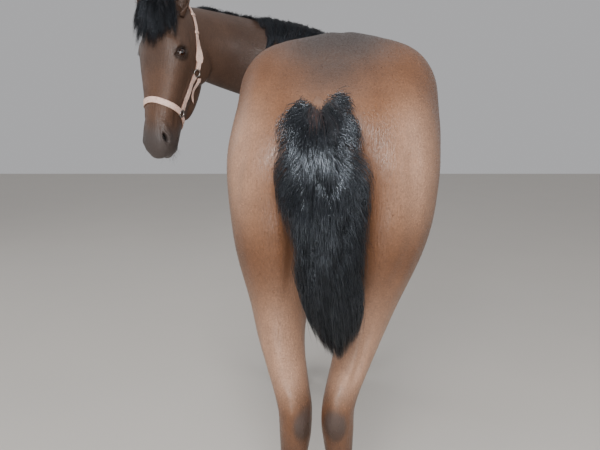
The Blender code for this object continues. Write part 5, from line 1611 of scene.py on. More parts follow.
def laid_path(tree, locals_list):
    """Even points and outward normals of a path laid on the skin."""
    raw = np.array([head_place(row) + SHIFT for row in sections(locals_list, 90)])
    lengths = path_lengths(raw)
    count = max(6, round(lengths[-1] / PATH_STEP))
    even = columns_at(np.linspace(0.0, lengths[-1], count + 1), lengths, raw)
    found = [tree.find_nearest(Vector(place)) for place in even]
    points = rounded_off(np.array([near for near, _, _, _ in found]))
    normals = unit(rounded_off(np.array([normal for _, normal, _, _ in found])))
    for i, place in enumerate(points):
        near, normal, _, _ = tree.find_nearest(Vector(place))
        depth = (Vector(place) - near).dot(normal)
        points[i] += normals[i] * max(0.0, OVER_SKIN - depth)
    return points, normals


def path_frames(points, normals):
    """Ahead, normal and side of a path at each point, and the lengths along it."""
    ahead = unit(np.gradient(points, axis=0))
    normal = unit(normals - ahead * np.sum(normals * ahead, axis=1, keepdims=True))
    return ahead, normal, np.cross(ahead, normal), path_lengths(points)


# Half of a strap's section: share of the half width, share of the thickness.
STRAP_SECTION = [(0.93, 0.0), (1.0, 0.22), (1.0, 0.66), (0.955, 0.95), (0.88, 1.0), (0.80, 0.90),
                 (0.73, 0.90), (0.66, 1.0), (0.30, 1.05), (0.0, 1.06)]


def leather_strap(name, points, normals, widths, thick, lift=0.0):
    """Band with rounded edges and a sunk line for the thread along each edge."""
    _, normal, side, lengths = path_frames(points, normals)
    section = STRAP_SECTION + [(-s, h) for s, h in STRAP_SECTION[-2::-1]]
    rings = []
    coordinates = []
    for i, width in enumerate(widths):
        half = width * 0.5
        rings.append([Vector(points[i] + side[i] * (half * s) + normal[i] * (lift + thick * h))
                      for s, h in section])
        coordinates += [(half * s, lengths[i], abs(s)) for s, _ in section]
    thing = loft(name, rings, workshop())
    ends = len(thing.data.vertices) - len(coordinates)
    set_attribute(thing.data, "band", "FLOAT_VECTOR", coordinates + [(0.0, 0.0, 0.0)] * ends)
    return thing


STITCH_PITCH = 0.0075
STITCH_LENGTH = 0.0052
STITCH_HALF = 0.00062
STITCH_SINK = 0.0014
# share of the length, share of the thickness.
STITCH_FORM = [(-0.5, 0.25), (-0.34, 0.85), (0.0, 1.0), (0.34, 0.85), (0.5, 0.25)]


def stitch_rows(points, normals, widths, thick, inset, lift=0.0):
    """Places and axes of the stitches down both edges of a strap."""
    ahead, normal, side, lengths = path_frames(points, normals)
    found = []
    for sign in (-1.0, 1.0):
        for at in np.arange(0.006, lengths[-1] - 0.006, STITCH_PITCH):
            place, way, up, across = (columns_at(at, lengths, table)
                                      for table in (points, ahead, normal, side))
            reach = sign * max(0.002, np.interp(at, lengths, widths) * 0.5 - inset)
            found.append((place + across * reach + up * (lift + thick * 0.97), way, up))
    return found


def stitch_piece(name, stitches):
    """Small rounded stitches, six-sided, as one mesh."""
    verts = []
    faces = []
    for place, ahead, normal in stitches:
        side = np.cross(ahead, normal)
        start = len(verts)
        for share, size in STITCH_FORM:
            for k in range(6):
                angle = 2.0 * math.pi * k / 6.0
                rise = STITCH_HALF * size * math.sin(angle) - STITCH_SINK * abs(share)
                verts.append(place + ahead * (share * STITCH_LENGTH) + normal * rise
                             + side * (STITCH_HALF * size * math.cos(angle)))
        for r in range(4):
            for k in range(6):
                n = (k + 1) % 6
                low, high = start + r * 6, start + r * 6 + 6
                faces.append((low + k, low + n, high + n, high + k))
        faces.append(tuple(start + k for k in range(5, -1, -1)))
        faces.append(tuple(start + 24 + k for k in range(6)))
    thing = new_object(name, verts, faces, workshop())
    face_outwards(thing)
    return thing


def leather_material(tack):
    """Pale vegetable-tanned leather: fine pores, darker rubbed edges, soft low shine."""
    material, tree = new_material("pale_tanned_leather")
    where = object_place(tree)
    band = attribute(tree, "band", "Vector")
    # Leather pores, 0.3 mm in life, are drawn 1.4 mm apart so that they show.
    pores = add_node(tree, "ShaderNodeTexVoronoi", {"Vector": where, "Scale": 720.0}).outputs[0]
    # Sweat clouds about 17 mm across, and dirt in spots of 6 mm.
    clouds = noise(tree, where, 60.0, 5.0)
    dirt = noise(tree, where, 170.0, 3.0)
    tone = mixed(tree, clouds, rgba(tack.leather, 0.80), rgba(tack.leather, 1.14))
    to_edge = add_node(tree, "ShaderNodeSeparateXYZ", {0: band}).outputs[2]
    tone = mixed(tree, spread(tree, to_edge, 0.86, 1.0, 0.0, 0.75), tone, (0.26, 0.13, 0.085, 1.0))
    tone = mixed(tree, spread(tree, dirt, 0.56, 0.74, 0.0, 0.45), tone, (0.30, 0.18, 0.13, 1.0))
    both = reckoned(tree, pores, dirt, "ADD")
    shade_with(tree, {"Base Color": tone, "Normal": bumped(tree, both, 0.0006, 0.35),
                      "Roughness": 0.50})
    return material


def thread_material(tack):
    """Waxed linen thread, twisted; pale against the leather."""
    material, tree = new_material("waxed_linen_thread")
    # The twist of the thread turns about once a millimetre.
    twist = add_node(tree, "ShaderNodeTexWave", {"Vector": object_place(tree), "Scale": 300.0,
                                                 "Distortion": 1.0}, bands_direction="DIAGONAL")
    shade_with(tree, {"Base Color": mixed(tree, twist.outputs[1], rgba(tack.thread, 0.72),
                                          rgba(tack.thread)), "Roughness": 0.6})
    return material


def ring_material(tack):
    """Nickelled steel dulled by use: small scratches and a few darker patches."""
    material, tree = new_material("nickelled_steel")
    # Dull patches about 4 mm across.
    patches = noise(tree, object_place(tree), 240.0, 4.0)
    shade_with(tree, {"Base Color": mixed(tree, patches, rgba(tack.metal, 0.45), rgba(tack.metal)),
                      "Roughness": spread(tree, patches, 0.3, 0.7, 0.42, 0.22), "Metallic": 1.0})
    return material


ROUNDED_END = 0.006
FOLD_LENGTH = 0.034
# Straps stop this far from the middle of a ring.
RING_ROOM = 0.006


def even_widths(points, width, start=False, end=False):
    """Width at each point, with the ends that are asked for rounded off."""
    lengths = path_lengths(points)
    widths = np.full(len(points), width)
    for asked, gaps in ((start, lengths), (end, lengths[-1] - lengths)):
        if asked:
            widths = widths * np.sqrt(np.clip(gaps / ROUNDED_END, 0.03, 1.0))
    return widths


def part_of_path(points, normals, start, end):
    """The stretch of a path between two lengths, as new even points."""
    lengths = path_lengths(points)
    at = np.linspace(start, end, max(6, round((end - start) / 0.003)) + 1)
    return columns_at(at, lengths, points), columns_at(at, lengths, normals)


# side and rise of the keeper's loop, in shares of the strap's width and thickness.
KEEPER_FORM = [(-0.62, 0.0), (-0.60, 0.75), (-0.52, 1.15), (-0.30, 1.30), (0.0, 1.36),
               (0.30, 1.30), (0.52, 1.15), (0.60, 0.75), (0.62, 0.0)]
KEEPER_WIDTH = 0.009
KEEPER_THICK = 0.0018


def add_keeper(name, points, normals, at, width, thick, material):
    """A small leather loop round the strap."""
    _, normal, side, lengths = path_frames(points, normals)
    place, up, across = (columns_at(at, lengths, table) for table in (points, normal, side))
    loop = np.array([place + across * (s * width) + up * (h * thick) for s, h in KEEPER_FORM])
    facing = unit(np.array([up * (0.2 + h) + across * s * 2.0 for s, h in KEEPER_FORM]))
    keeper = leather_strap(name, loop, facing, [KEEPER_WIDTH] * len(loop), KEEPER_THICK)
    finish_piece(keeper, name, material)


RING_STANDS = 0.0048
CHIN_WIDTH = 0.016
LOOSE_WIDTH = 0.0165
PAD_WIDTH = 0.037
# share of the pad's length, share of its width: a drop.
PAD_FORM = [(0.0, 0.30), (0.03, 0.62), (0.10, 0.92), (0.25, 1.0), (0.5, 0.86), (1.0, 0.52)]


class HORSE_OT_halter(bpy.types.Operator):
    """Leather halter: straps laid over the skin, turned back at wire rings and stitched"""
    bl_idname = "altai_horse.halter"
    bl_label = "Halter"

    def execute(self, context):
        tack = context.scene.horse_tack
        self.leather = leather_material(tack)
        self.thick = tack.strap_thick
        self.stitches = []
        thread = thread_material(tack)
        metal = ring_material(tack)
        tree = surface_tree(bpy.data.objects["horse_skin"])
        wide = tack.strap_width
        jobs = [("halter_noseband", NOSEBAND, wide), ("halter_chin", CHIN_STRAP, CHIN_WIDTH),
                ("halter_crown", CROWN, wide * 0.92)]
        for sign, side in ((1, "left"), (-1, "right")):
            jobs.append(("halter_cheek_" + side, [(x * sign, y, z) for x, y, z in CHEEK], wide))
        for node, path, width in jobs:
            self.add_strap(tree, node, path, width)
        points, normals = laid_path(tree, STRAP_END)
        lengths = path_lengths(points)
        widths = LOOSE_WIDTH * np.clip((lengths[-1] - lengths) / 0.030, 0.08, 1.0) ** 0.7
        loose = leather_strap("loose_end", points, normals, widths, self.thick * 0.8, 0.0010)
        finish_piece(loose, "strap_loose_end", self.leather)
        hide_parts("halter_strap_end")
        self.stitches += stitch_rows(points[:-9], normals[:-9], widths[:-9], self.thick * 0.8,
                                     0.0026, 0.0010)
        sewn = stitch_piece("halter_stitches", self.stitches)
        finish_piece(sewn, "halter_stitches", thread)
        for sign, side in ((1, "left"), (-1, "right")):
            for level, local in (("upper", RING_UPPER), ("lower", RING_LOWER)):
                self.add_ring("ring_%s_%s" % (level, side), tree, local, sign, metal)
        return {"FINISHED"}

    def add_strap(self, tree, node, path, width):
        """One strap between two rings, its ends turned back over it and sewn down."""
        points, normals = laid_path(tree, path)
        points, normals = part_of_path(points, normals, RING_ROOM,
                                       path_lengths(points)[-1] - RING_ROOM)
        widths = even_widths(points, width)
        title = node.replace("halter", "strap")
        strap = leather_strap(node, points, normals, widths, self.thick)
        finish_piece(strap, title, self.leather)
        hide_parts(node)
        self.stitches += stitch_rows(points, normals, widths, self.thick, 0.0027)
        length = path_lengths(points)[-1]
        for end, (start, stop) in enumerate(((0.001, FOLD_LENGTH),
                                             (length - FOLD_LENGTH, length - 0.001))):
            folded, facing = part_of_path(points, normals, start, stop)
            self.sew_on("%s_fold_%d" % (title, end), folded, facing,
                        even_widths(folded, width * 0.96, end == 1, end == 0), 0.8, 0.98, 0.0030)
        if node == "halter_crown":
            folded, facing = part_of_path(points, normals, *TAB_REACH)
            shape = np.interp(np.linspace(0.0, 1.0, len(folded)), *zip(*PAD_FORM))
            self.sew_on("strap_drop_pad", folded, facing, PAD_WIDTH * shape, 0.9, 1.0, 0.0032)
            for i, at in enumerate(KEEPER_PLACES):
                add_keeper("strap_keeper_%d" % i, points, normals, at, width, self.thick,
                           self.leather)

    def sew_on(self, title, points, normals, widths, thick, lift, inset):
        """A second layer on a strap; thickness and lift are shares of the strap's thickness."""
        piece = leather_strap("layer", points, normals, widths, self.thick * thick,
                              self.thick * lift)
        finish_piece(piece, title, self.leather)
        self.stitches += stitch_rows(points, normals, widths, self.thick * thick, inset,
                                     self.thick * lift)

    def add_ring(self, name, tree, local, sign, material):
        """A wire ring standing on the skin where the straps meet."""
        near, normal, _, _ = tree.find_nearest(head_place(local, sign) + SHIFT)
        deselect_all()
        bpy.ops.mesh.primitive_torus_add(
            major_segments=56, minor_segments=16, major_radius=RING_MAJOR,
            minor_radius=RING_MINOR, location=near + normal * RING_STANDS,
            rotation=normal.to_track_quat("Z", "Y").to_euler())
        ring = bpy.context.active_object
        settle(ring)
        bpy.ops.object.shade_smooth()
        finish_piece(ring, "wire_" + name, material)
        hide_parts("halter_" + name)


# The tail's outline: height, half width, side shift, place behind, half thickness.
TAIL_FORM = [
    (1.276, 0.070, -0.022, 0.042, 0.020),
    (1.250, 0.080, -0.016, 0.012, 0.034),
    (1.215, 0.087, -0.009, -0.012, 0.044),
    (1.165, 0.090, -0.002, -0.032, 0.052),
    (1.110, 0.098, 0.003, -0.044, 0.055),
    (1.050, 0.092, 0.006, -0.050, 0.055),
    (0.980, 0.084, 0.009, -0.050, 0.052),
    (0.900, 0.069, 0.017, -0.044, 0.046),
    (0.830, 0.054, 0.024, -0.034, 0.040),
    (0.780, 0.043, 0.029, -0.026, 0.033),
    (0.722, 0.028, 0.036, -0.020, 0.020),
]
TAIL_HIGH_TO_LOW = np.array(sorted(TAIL_FORM))


def tail_at(z):
    """Half width, side shift, place behind and half thickness of the tail at heights."""
    return [np.interp(z, TAIL_HIGH_TO_LOW[:, 0], TAIL_HIGH_TO_LOW[:, k]) for k in range(1, 5)]
TAIL_TIP = 0.728
DOCK_TOP = 1.270
DOCK_LENGTH = 0.335
# Stations of the neck: the mane's ends, and where it changes from the left side to the right.
MANE_FIRST = 0.35
MANE_LAST = 6.75
MANE_TURN = 4.45
HAIR_SEED = 11
# Keeps each piece of hair under 200,000 triangles.
STRANDS_A_PIECE = 5400


def spine_places(flat):
    """World places of (side, along, height) on the straight animal, for whole arrays."""
    px, py, fx, fy = spine_at(flat[..., 1])
    return np.stack([px + flat[..., 0] * fy, py - flat[..., 0] * fx, flat[..., 2]], axis=-1)


def hair_material(name, hair, brown_share, gloss_low, gloss):
    """Coarse black hair: long bluish streaks of gloss broken by matt, sunburnt strands."""
    material, tree = new_material(name)
    shade = attribute(tree, "shade")
    # Lighter bluish-grey clouds about 26 mm across.
    clouds = noise(tree, object_place(tree), 38.0, 3.0)
    base = mixed(tree, spread(tree, shade, 1.0 - brown_share, 1.0), rgba(hair.black),
                 rgba(hair.brown))
    base = mixed(tree, spread(tree, clouds, 0.50, 0.80, 0.0, 0.10), base,
                 (0.070, 0.078, 0.100, 1.0))
    shade_with(tree, {"Base Color": base, "Roughness": spread(tree, shade, 0.0, 1.0, gloss_low, 0.46),
                      "IOR": 1.55, "Specular IOR Level": gloss,
                      "Specular Tint": (0.80, 0.89, 1.0, 1.0)})
    return material


def tuft_material(skin):
    """Tips of the short coat, with a painted highlight: lighter and a little warmer than the coat that
    they lie on.
    """
    material, tree = new_material("coat_tufts")
    # Painted highlight: each tuft is lightened up to about twice the coat's colour, a little warmer.
    light = mixed(tree, attribute(tree, "shade"), (1.00, 1.00, 1.00, 1.0), (1.95, 1.90, 1.84, 1.0))
    base = mixed(tree, 1.0, coat_colours(tree, skin), light, "MULTIPLY")
    shade_with(tree, {"Base Color": base, "Roughness": 0.48, "IOR": 1.5})
    return material


def ride_strands(name, paths, widths, flats, roots, shades, material, nodes=()):
    """Lay strands into pieces under the limit; the first stands for the CAD nodes."""
    count = len(paths)
    pieces = max(1, math.ceil(count / STRANDS_A_PIECE))
    for k in range(pieces):
        pick = slice(k, count, pieces)
        piece = strands("strands", paths[pick], widths[pick], flats[pick], roots[pick],
                        shades[pick])
        title = name if pieces == 1 else "%s_%d" % (name, k + 1)
        finish_piece(piece, title, material)
        if k == 0 and nodes:
            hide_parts(*nodes)


def lay_hair(context, kind, seed, looks, lift, widths, nodes):
    """Grow one group of long hair over the skin, in the places of its CAD nodes."""
    hair = context.scene.horse_hair
    chance = np.random.default_rng(HAIR_SEED + seed)
    tree = surface_tree(bpy.data.objects["horse_skin"])
    material = hair_material("coarse_%s_hair" % kind, hair, *looks)
    paths, flats, roots, shades = STRAND_MAKERS[kind](getattr(hair, kind + "_strands"), chance)
    paths = lift_paths(tree, paths, *lift)
    thick = hair.width * chance.uniform(*widths, len(paths))
    ride_strands(kind + "_hair", paths, thick, flats, roots, shades, material, nodes)
    return {"FINISHED"}


TAIL_LOCKS = 260
DOCK_HALF = 0.018


def tail_strands(count, chance):
    """Rows of locks that leave the dock at both sides and fan down, ending in points."""
    level = np.sort(chance.random(TAIL_LOCKS)) ** 0.92
    q = chance.uniform(-1.0, 1.0, TAIL_LOCKS)
    depth = 1.0 - 0.42 * chance.random(TAIL_LOCKS) ** 1.6
    length = 0.080 + 0.185 * level ** 1.2 + chance.uniform(-0.025, 0.045, TAIL_LOCKS)
    room = 0.0060 + 0.0065 * chance.random(TAIL_LOCKS)
    which = chance.integers(0, TAIL_LOCKS, count)
    level, q, depth, length, room = (row[which] for row in (level, q, depth, length, room))
    share = np.linspace(0.0, 1.0, 7)[None, :]
    root_z = DOCK_TOP - DOCK_LENGTH * level + chance.normal(0.0, 0.007, count)
    root_z -= 0.022 * np.exp(-(q / 0.42) ** 2) * np.clip(1.0 - level / 0.20, 0.0, 1.0)
    own_q = np.clip(q + chance.normal(0.0, 0.055, count), -1.0, 1.0)[:, None]
    long = (length * chance.uniform(0.72, 1.10, count))[:, None]
    level, depth, room, root_z = (row[:, None] for row in (level, depth, room, root_z))
    flare = np.clip((0.12 - level) / 0.12, 0.0, 1.0)
    tip = np.maximum(root_z - long + 0.055 * np.abs(own_q) * (1.0 - level) + 0.02 * flare,
                     TAIL_TIP + 0.045 * np.abs(own_q) ** 2.0
                     + np.abs(chance.normal(0.0, 0.020, count))[:, None])
    z = root_z + (tip - root_z) * share + 0.010 * np.sin(math.pi * share)
    half, shift, place, deep = tail_at(z)
    out = 0.30 + (depth - 0.28) * np.sin(0.5 * math.pi * np.minimum(1.0, share * 1.5))
    start = 0.30 + 0.62 * np.clip((0.15 - level) / 0.15, 0.0, 1.0)
    side = own_q * (start + (1.0 - start) * np.sin(0.5 * math.pi * np.minimum(1.0, share * 1.15)))
    out = np.maximum(out, 0.9 * (start - 0.30) * 2.0 * depth)
    back = np.sqrt(np.maximum(0.03, 1.0 - side ** 2))
    angle = chance.uniform(0.0, 2.0 * math.pi, count)[:, None]
    away = np.sqrt(chance.random(count))[:, None] * room
    stray = (chance.random(count) < 0.06)[:, None]
    away = away * np.where(stray, 0.5 + 1.6 * share, 0.45 + 0.95 * share - 1.25 * share ** 3)
    wave = 0.0022 * np.sin(share * 6.0 + angle * 3.0) * share
    lateral = shift + half * side * out + away * np.cos(angle) + wave
    behind = place - deep * back * out + 0.5 * away * np.sin(angle)
    roots = np.stack([own_q[:, 0] * DOCK_HALF, place[:, 0] + 0.004, root_z[:, 0]], axis=1)
    paths = spine_places(np.stack([lateral, behind, z], axis=-1))
    facing = unit(np.stack([side[:, 3] / half[:, 3], -back[:, 3] / deep[:, 3]], axis=1))
    flats = np.column_stack([facing, np.full(count, 0.15)])
    lock_shade = chance.random(TAIL_LOCKS)[which]
    centre_top = np.exp(-(own_q / 0.60) ** 2) * np.clip((0.07 - level) / 0.05, 0.0, 1.0)
    shades = np.clip(0.40 * chance.random(count) + 0.15 * lock_shade + 0.75 * centre_top[:, 0],
                     0.0, 1.0)
    return paths, flats, spine_places(roots), shades


DOCK_RINGS = 24
DOCK_SIDES = 28
DOCK_CORE_TOP = 1.274
DOCK_CORE_LENGTH = 0.42
# The dock fills this share of the tail's own section.
DOCK_SHARE = 0.62


def dock_core():
    """Fleshy dock inside the tail's hair, covered by short brown hair."""
    rings = []
    for i in range(DOCK_RINGS + 1):
        z = DOCK_CORE_TOP - DOCK_CORE_LENGTH * i / DOCK_RINGS
        half, shift, place, deep = tail_at(z)
        taper = DOCK_SHARE * (1.0 - 0.35 * (i / DOCK_RINGS) ** 2) * min(
            1.0, 0.35 + 0.3 * (DOCK_RINGS - i), 0.10 + 0.30 * i)
        ring = []
        for k in range(DOCK_SIDES):
            angle = 2.0 * math.pi * k / DOCK_SIDES
            ring.append(on_spine(shift + half * taper * math.cos(angle),
                                 place + deep * taper * math.sin(angle), z) + SHIFT)
        rings.append(ring)
    core = loft("dock", rings, workshop())
    core.data.polygons.foreach_set("use_smooth", np.ones(len(core.data.polygons), bool))
    heights = points_of(core)[:, 2]
    give_attributes(core, np.zeros(len(heights)))
    tone = core.data.attributes["tone"]
    values = np.zeros(4 * len(heights), np.float32)
    tone.data.foreach_get("color", values)
    values[0::4] = np.maximum(values[0::4], ramp(-heights, -1.250, -1.225))
    tone.data.foreach_set("color", values)
    return core


class HORSE_OT_tail(bpy.types.Operator):
    """Tail: a dock with rows of black locks that fan out and fall to a point"""
    bl_idname = "altai_horse.tail"
    bl_label = "Tail"

    def execute(self, context):
        finish_piece(dock_core(), "tail_dock", coat_material(context.scene.horse_skin))
        return lay_hair(context, "tail", 0, (0.45, 0.20, 0.85), (0.004, 2), (0.75, 1.55), ("tail",))


MANE_LOCKS = 210
FIRST_LOCKS = 70
CREST_STATIONS = np.linspace(0.0, 7.2, 145)


def mane_strands(count, chance):
    """Locks that rise from the crest, turn over and fall to one side of the neck."""
    crest = [neck_frame(float(t)) for t in CREST_STATIONS]
    rows = np.array([[*centre, *right, *up, above] for centre, right, up, _, above, _, _ in crest])
    place = np.sort(np.concatenate([chance.uniform(MANE_FIRST, MANE_LAST, MANE_LOCKS - FIRST_LOCKS),
                                    chance.uniform(1.6, MANE_TURN + 0.3, FIRST_LOCKS)]))
    left = chance.random(MANE_LOCKS) < 1.0 / (1.0 + np.exp((place - MANE_TURN) * 9.0))
    length = 0.150 + chance.uniform(-0.040, 0.045, MANE_LOCKS)
    short = np.clip(np.minimum(place - MANE_FIRST, MANE_LAST - place) / 0.7, 0.35, 1.0)
    border = np.clip((MANE_TURN + 0.15 - place) / 0.55, 0.22, 1.0) * (
        chance.uniform(0.75, 1.1, MANE_LOCKS))
    begun = np.clip((place - MANE_TURN + 0.30) / 1.10, 0.30, 1.0)
    length = length * short * np.where(left, np.minimum(1.0, border), begun)
    trail = chance.uniform(0.05, 0.45, MANE_LOCKS)
    trail = np.where(left & (place > MANE_TURN - 0.5), trail + 0.25, trail)
    lift = chance.uniform(0.70, 1.15, MANE_LOCKS)
    which = chance.integers(0, MANE_LOCKS, count)
    share = np.linspace(0.0, 1.0, 7)[None, :]
    own = place[which] + chance.normal(0.0, 0.050, count)
    frames = columns_at(own[:, None] - trail[which][:, None] * share, CREST_STATIONS, rows)
    centre, right, up, above = np.split(frames, (3, 6, 9), axis=-1)
    above = above[..., 0]
    sign = np.where(left[which], -1.0, 1.0)[:, None]
    long = (length[which] * chance.uniform(0.70, 1.08, count))[:, None]
    over = np.sin(0.5 * math.pi * np.minimum(1.0, share * 1.9))
    across = chance.normal(0.0, 0.0070, count)[:, None]
    gather = 1.0 - 0.75 * share ** 2
    rise = 0.022 * lift[which][:, None] * np.sin(math.pi * np.minimum(1.0, share * 1.25)) * (
        np.clip(long / 0.12, 0.30, 1.0))
    fall = np.maximum(0.0, share - 0.20) * long * 1.12
    loose = chance.normal(0.0, 0.0045, count)[:, None]
    height = above - 0.004 + rise - fall + loose * gather
    side = across * gather + sign * (0.050 * over) + loose * share
    paths = centre + right * side[..., None] + up * height[..., None]
    flats = right[:, 2] * sign + up[:, 2] * 0.35
    roots = centre[:, 0] + right[:, 0] * across + up[:, 0] * above[:, :1]
    shades = np.clip(0.45 * chance.random(count) + 0.45 * chance.random(MANE_LOCKS)[which], 0.0, 1.0)
    return paths, flats, roots, shades


class HORSE_OT_mane(bpy.types.Operator):
    """Mane of fine black locks along the crest: left at the withers, right towards the poll"""
    bl_idname = "altai_horse.mane"
    bl_label = "Mane"

    def execute(self, context):
        return lay_hair(context, "mane", 1, (0.35, 0.24, 0.55), (0.0035, 1), (0.75, 1.45),
                        ("mane_withers", "mane_middle", "mane_poll"))


FORELOCK_LOCKS = 38
LOCK_HALF = 0.0105


def forelock_strands(count, chance):
    """Locks from the poll that hang over the forehead between the eyes, ragged below."""
    q = np.sort(chance.uniform(-1.0, 1.0, FORELOCK_LOCKS))
    length = 0.166 - 0.036 * q * q + chance.uniform(-0.062, 0.028, FORELOCK_LOCKS)
    which = chance.integers(0, FORELOCK_LOCKS, count)
    own_q = (q[which] + chance.normal(0.0, 0.055, count))[:, None]
    long = (length[which] * chance.uniform(0.62, 1.08, count))[:, None]
    share = np.linspace(0.0, 1.0, 6)[None, :]
    fan = 0.30 + 0.70 * np.sin(0.5 * math.pi * share)
    angle = chance.uniform(0.0, 2.0 * math.pi, count)[:, None]
    away = np.sqrt(chance.random(count))[:, None] * LOCK_HALF * (1.0 - 0.95 * share ** 1.25)
    side = own_q * np.where(own_q < 0.0, 0.114, 0.084) * fan + away * np.cos(angle)
    sway = chance.normal(0.0, 0.012, FORELOCK_LOCKS)[which][:, None]
    side += sway * share ** 2 + 0.003 * np.sin(share * 5.0 + angle * 2.0) * share
    along = 0.004 + chance.uniform(0.0, 0.030, count)[:, None] + long * share
    high = -0.018 + 0.040 * np.sin(0.5 * math.pi * np.minimum(1.0, share * 2.2)) + (
        0.6 * away * np.sin(angle))
    right, ahead, out, origin = head_arrays()
    paths = origin + side[..., None] * right + along[..., None] * ahead + high[..., None] * out
    shades = np.clip(0.5 * chance.random(count) + 0.4 * chance.random(FORELOCK_LOCKS)[which],
                     0.0, 1.0)
    return paths, unit(own_q * 0.5 * right + out), paths[:, 0], shades


STRAND_MAKERS = {"tail": tail_strands, "mane": mane_strands, "forelock": forelock_strands}


class HORSE_OT_forelock(bpy.types.Operator):
    """Forelock hanging over the forehead"""
    bl_idname = "altai_horse.forelock"
    bl_label = "Forelock"

    def execute(self, context):
        return lay_hair(context, "forelock", 2, (0.30, 0.28, 0.35), (0.0035, 1), (0.70, 1.35),
                        ("forelock",))


def grown(roots, lean, long, steps):
    """Straight paths of a length along a lean."""
    share = np.linspace(0.0, 1.0, steps)
    return roots[:, None, :] + lean[:, None, :] * long[:, None, None] * share[None, :, None]


def curved(root, lean, long, bend):
    """One short path that bends as it goes."""
    return [root + lean * long * s + bend * long * s * s for s in np.linspace(0.0, 1.0, 4)]


LASHES = 60


def lash_strands(chance):
    """Lashes of both upper lids."""
    paths = []
    flats = []
    for sign, _ in SIDES:
        centre, length, across, look = lid_frame(sign)
        for _ in range(LASHES):
            u = chance.uniform(-0.9, 0.9) * LID_HALF_LENGTH * 0.8
            v = LID_HALF_OPENING * 0.92 * (1.0 - abs(u / LID_HALF_LENGTH) ** 2.1) ** 0.8 + 0.0006
            w = math.sqrt(max(1e-6, (EYE_RADIUS + 0.0022) ** 2 - u * u - v * v))
            root = centre + length * u + across * v + look * w
            lean = unit(look * 0.85 + across * chance.uniform(-0.15, 0.25) + length * (u * 18.0))
            paths.append(curved(root, lean, chance.uniform(0.008, 0.013), across * 0.25))
            flats.append(across)
    return np.array(paths), np.array(flats)


# centre in the head's frame, count, scatter.
WHISKER_SPOTS = [((0.030, 0.575, -0.098), 26, 0.014), ((0.050, 0.545, -0.060), 22, 0.016),
                 ((0.0, 0.560, -0.125), 16, 0.018), ((0.072, 0.262, -0.085), 6, 0.010)]


def whisker_strands(chance):
    """Long feelers round the lips and chin, and a few under the eyes."""
    right, along, out, origin = head_arrays()
    paths = []
    flats = []
    for sign in (-1.0, 1.0):
        for (x, y, z), count, wide in WHISKER_SPOTS:
            for _ in range(count // 2):
                local = np.array([x * sign, y, z]) + chance.normal(0.0, wide, 3)
                root = origin + right * local[0] + along * local[1] + out * local[2]
                lean = unit(root - (origin + along * (y - 0.06) + out * -0.07))
                lean += chance.normal(0.0, 0.25, 3)
                paths.append(curved(root, lean, chance.uniform(0.014, 0.030), DOWN * 0.3))
                flats.append(np.cross(lean, [0.1, 0.2, 1.0]))
    return np.array(paths), np.array(flats)


FRINGE_HAIRS = 900
FEATHER_HAIRS = 3600
LASH_WIDTH = 0.00055
FEELER_WIDTH = 0.00050
FRINGE_WIDTH = 0.0007
FEATHER_WIDTH = 0.0011
HOOF_CLEARANCE = 0.012


def seat_roots(tree, paths, sink=0.001):
    """Move each strand so that its root lies just under the skin."""
    shift = Vector(SHIFT)
    for i in range(len(paths)):
        point = Vector(paths[i, 0]) + shift
        place, normal, _, _ = tree.find_nearest(point)
        if place is not None:
            paths[i] += np.array(place - normal * sink - point)
    return paths


